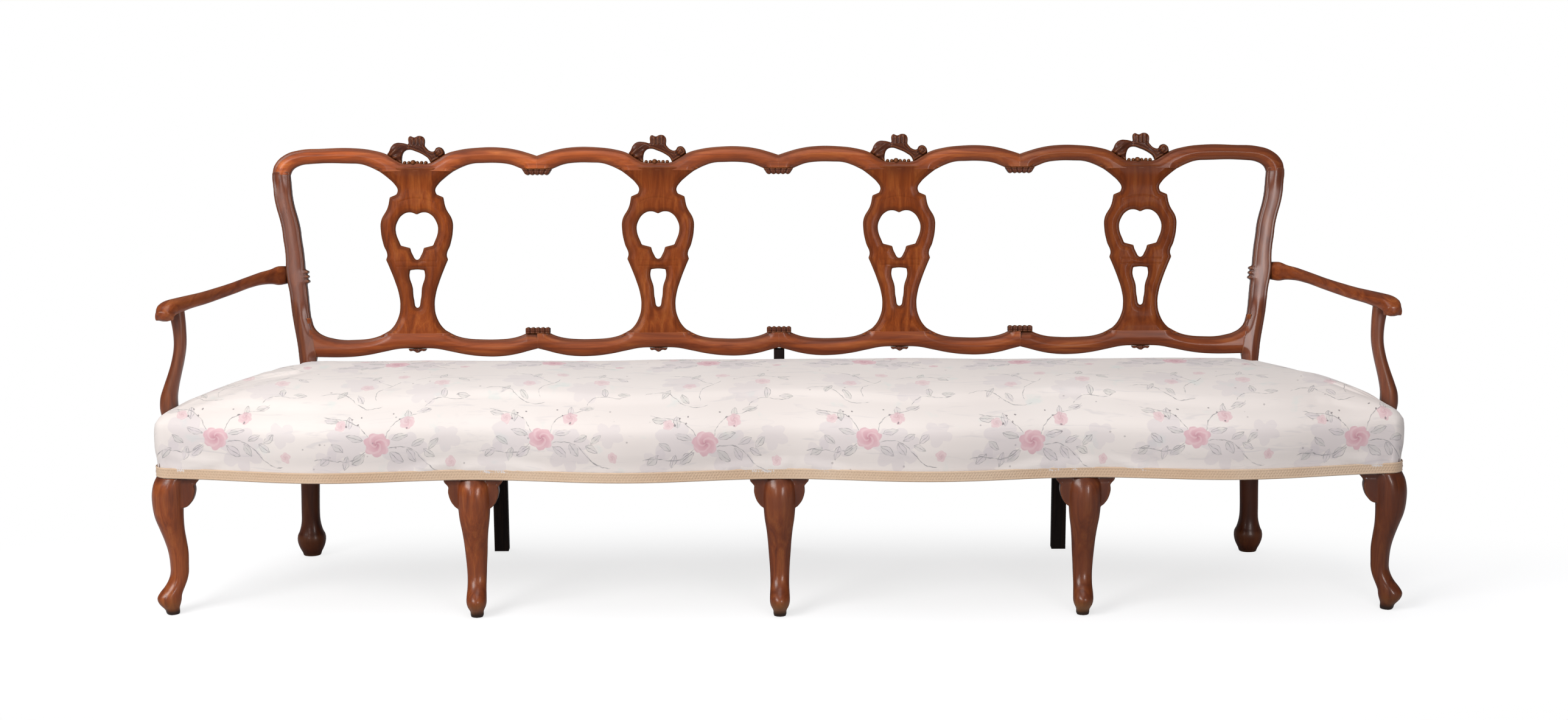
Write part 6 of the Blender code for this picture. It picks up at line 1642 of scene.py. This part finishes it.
BERRIES = by_rose((-0.040, 0.050), (-0.052, 0.062), (-0.034, 0.066), (-0.062, 0.046), (0.044, 0.060),
                  (0.060, 0.040), (0.030, 0.074))
berries = any_of([flower_shape(x, y, 0, BERRY, 2, 0.0)[0] for x, y in BERRIES])
colour = pot.mix(pot.times(berries, 0.7), colour, (0.130, 0.105, 0.120))
dots = pot.add("TexVoronoi", "Distance", {"Vector": uv, "Scale": 26.0, "Randomness": 1.0})
dots = pot.span(dots, 0.045, 0.075, 0.50, 0.0)
colour = pot.mix(dots, colour, (0.220, 0.180, 0.200))
warp, weft = [pot.wave(uv, 330.0, 1.5, 1.0, axis) for axis in ("X", "Y")]
weave = pot.times(pot.plus(warp, weft), 0.5)
colour = pot.mix(pot.span(weave, 0.2, 0.8, 0.10, 0.0), colour, (0.45, 0.40, 0.38))
printed_cotton = pot.dress(colour, pot.span(weave, 0.0, 1.0, 0.78, 0.66), weave, 0.18, 0.0004,
                           Sheen_Weight=0.15, Sheen_Roughness=0.5)
hand_over(seat, printed_cotton, "seat_fabric", "seat_cover", "seat_stuffing")

# Gimp braid
# A looped beige braid glued along the foot of the cover to hide the tacks.
# Two corded edges with a pair of waved cords crossing between them.
BRAID_HIGH = 0.022
BRAID_LOW = 0.3004
braid_plan = [p for p in seat_plan(SEAT_SKIN + 0.0012, 0.004) if p[2] != "back"]
split_at = next(i for i, (a, b) in enumerate(zip(braid_plan, braid_plan[1:])) if b[0] < a[0] - 0.5)
path = np.array([p[:2] for p in braid_plan[split_at + 1:] + braid_plan[:split_at + 1]])
path = path[path[:, 1] < BACK_Y - 0.020]
run = np.concatenate([[0.0], np.cumsum(np.linalg.norm(np.diff(path, axis=0), axis=1))])
braid_length = float(run[-1])
BRAID_STEPS = 2300
BRAID_ROWS = 12
EDGE_TWIST = 0.0044
LOOP_PITCH = 0.0125
CORD_RELIEF = 0.0013
BRAID_THICK = 0.0011
braid = add_block(bpy.ops.mesh.primitive_grid_add, size=1.0, x_subdivisions=BRAID_STEPS,
                  y_subdivisions=BRAID_ROWS)
braid.name = "gimp_trim"
places = read_points(braid)
at = (places[:, 0] + 0.5) * braid_length
high = places[:, 1] + 0.5
x, y = [np.interp(at, run, line) for line in path.T]
ahead_x, ahead_y = [np.interp(at + 0.003, run, line) - np.interp(at - 0.003, run, line) for line in path.T]
size = np.hypot(ahead_x, ahead_y)
out_x, out_y = ahead_y / size, -ahead_x / size
cords = np.exp(-((np.abs(high - 0.5) - 0.40) / 0.075) ** 2)
cords = cords * (1.0 + 0.30 * np.sin(2 * np.pi * at / EDGE_TWIST))
centre_cord = 0.5 + 0.20 * np.sin(2 * np.pi * at / LOOP_PITCH)
loops = np.exp(-((high - centre_cord) / 0.085) ** 2)
loops = np.maximum(loops, np.exp(-((high - 1 + centre_cord) / 0.085) ** 2))
relief = CORD_RELIEF * np.maximum(cords, 0.9 * loops)
places = np.column_stack([x + out_x * relief, y + out_y * relief, BRAID_LOW + BRAID_HIGH * high])
write_points(braid, places)
apply_step(braid, "SOLIDIFY", thickness=BRAID_THICK, offset=0.0)
face_outward(braid)
pot = Pot(bpy.data.materials.new("beige_braid"))
yarns = pot.grain((900.0, 900.0, 1400.0), 2.0)
fade = pot.grain((4.0, 4.0, 4.0), 3.0)
turned = pot.add("NewGeometry", "Pointiness")
yarn = pot.mix(pot.span(fade, 0.35, 0.65), (0.66, 0.46, 0.31), (0.74, 0.56, 0.41))
yarn = pot.mix(pot.span(yarns, 0.35, 0.65, 0.35, 0.0), yarn, (0.36, 0.25, 0.16))
# Darker in the hollows between the cords: painted shade.
yarn = pot.mix(pot.span(turned, 0.42, 0.50, 0.65, 0.0), yarn, (0.26, 0.17, 0.10))
beige = pot.dress(yarn, pot.span(yarns, 0.3, 0.7, 0.70, 0.88), yarns, 0.4, 0.0003, Sheen_Weight=0.25)
hand_over(braid, beige, "braid", "gimp_braid")

# Studio
# A white floor that runs back to a white ground, soft light from the left and above,
# and a camera at a standing height, before the middle of the settee.
floor = add_block(bpy.ops.mesh.primitive_plane_add, size=60.0)
floor.name = "studio_floor"
WHITE = (1.0, 1.0, 1.0)
pot = Pot(bpy.data.materials.new("white_floor"))
for socket, value in (("Base Color", (0.42, 0.42, 0.43)), ("Roughness", 0.9), ("Specular IOR Level", 0.1)):
    pot.pour(value, pot.shader.inputs[socket])
matt = pot.shader.outputs["BSDF"]
glow = pot.add("Emission", 0, {"Color": WHITE, "Strength": 0.68})
lit = pot.add("AddShader", 0, {0: matt, 1: glow})
plain = pot.add("Emission", 0, {"Color": WHITE, "Strength": 1.0})
spread = pot.add("Mapping", "Vector", {
    "Vector": pot.place(), "Location": (0.0, 0.375, 0.0), "Scale": (0.44, 1.50, 1.0)})
away = pot.add("VectorMath", "Value", {0: spread}, operation="LENGTH")
faded = pot.add("MixShader", 0, {0: pot.span(away, 0.55, 1.15, smooth=True), 1: lit, 2: plain})
seen = pot.add("LightPath", "Is Camera Ray")
above = pot.add("MixShader", 0, {0: seen, 1: matt, 2: faded})
clear = pot.add("BsdfTransparent", 0)
whole = pot.add("MixShader", 0, {0: pot.add("NewGeometry", "Backfacing"), 1: above, 2: clear})
pot.pour(whole, pot.tree.nodes["Material Output"].inputs["Surface"])
floor.data.materials.append(pot.made)

bpy.context.scene.world = bpy.data.worlds.new("white_studio")
pot = Pot(bpy.context.scene.world)
dim = pot.tree.nodes["Background"]
pot.pour((0.96, 0.98, 1.0), dim.inputs["Color"])
pot.pour(0.42, dim.inputs["Strength"])
bright = pot.add("Background", 0, {"Color": WHITE, "Strength": 1.0})
mirrored_room = pot.add("Background", 0, {"Color": (1.0, 0.97, 0.96), "Strength": 0.10})
glossy = pot.add("LightPath", "Is Glossy Ray")
unseen = pot.add("MixShader", 0, {0: glossy, 1: dim.outputs["Background"], 2: mirrored_room})
whole = pot.add("MixShader", 0, {0: pot.add("LightPath", "Is Camera Ray"), 1: unseen, 2: bright})
pot.pour(whole, pot.tree.nodes["World Output"].inputs["Surface"])

# name, place, size, watts, colour
LAMPS = [
    ("key", (-3.3, -3.2, 3.3), (2.4, 2.0), 164.0, (1.0, 0.985, 0.96)),
    ("right strip", (1.92, -4.0, 1.58), (0.60, 1.6), 60.0, (1.0, 0.96, 0.95)),
    ("left strip", (-1.92, -4.0, 1.58), (0.50, 1.4), 17.0, (1.0, 0.97, 0.96)),
    ("right fill", (1.9, -4.4, 1.7), (1.8, 1.6), 42.0, (1.0, 0.97, 0.96)),
    ("left fill", (-1.9, -4.4, 1.7), (1.8, 1.6), 10.0, (1.0, 0.98, 0.97)),
    ("top", (-0.6, -0.5, 4.2), (4.5, 1.8), 52.0, (1.0, 1.0, 1.0)),
]
LAMPS_AIM = Vector((0.0, 0.0, 0.45))
for name, place, size, watts, colour in LAMPS:
    lamp = bpy.data.lights.new(name, "AREA")
    lamp.shape = "RECTANGLE"
    lamp.size, lamp.size_y = size
    lamp.energy = watts
    lamp.color = colour
    stand = bpy.data.objects.new(name, lamp)
    bpy.context.collection.objects.link(stand)
    stand.location = place
    stand.visible_diffuse = "strip" not in name
    stand.visible_glossy = "fill" not in name
    stand.rotation_euler = (LAMPS_AIM - Vector(place)).to_track_quat("-Z", "Y").to_euler()

CAMERA_DOWN = 11.95
CAMERA_ROLL = 0.24
CAMERA_TURN = -0.07
lens = bpy.data.cameras.new("camera")
lens.lens = 60.1
lens.sensor_width = 36.0
camera = bpy.data.objects.new("camera", lens)
bpy.context.collection.objects.link(camera)
camera.location = (0.009, -5.550, 1.666)
camera.rotation_euler = [math.radians(turn) for turn in (90.0 - CAMERA_DOWN, CAMERA_ROLL, CAMERA_TURN)]
bpy.context.scene.camera = camera
bpy.context.scene.view_settings.view_transform = "Standard"
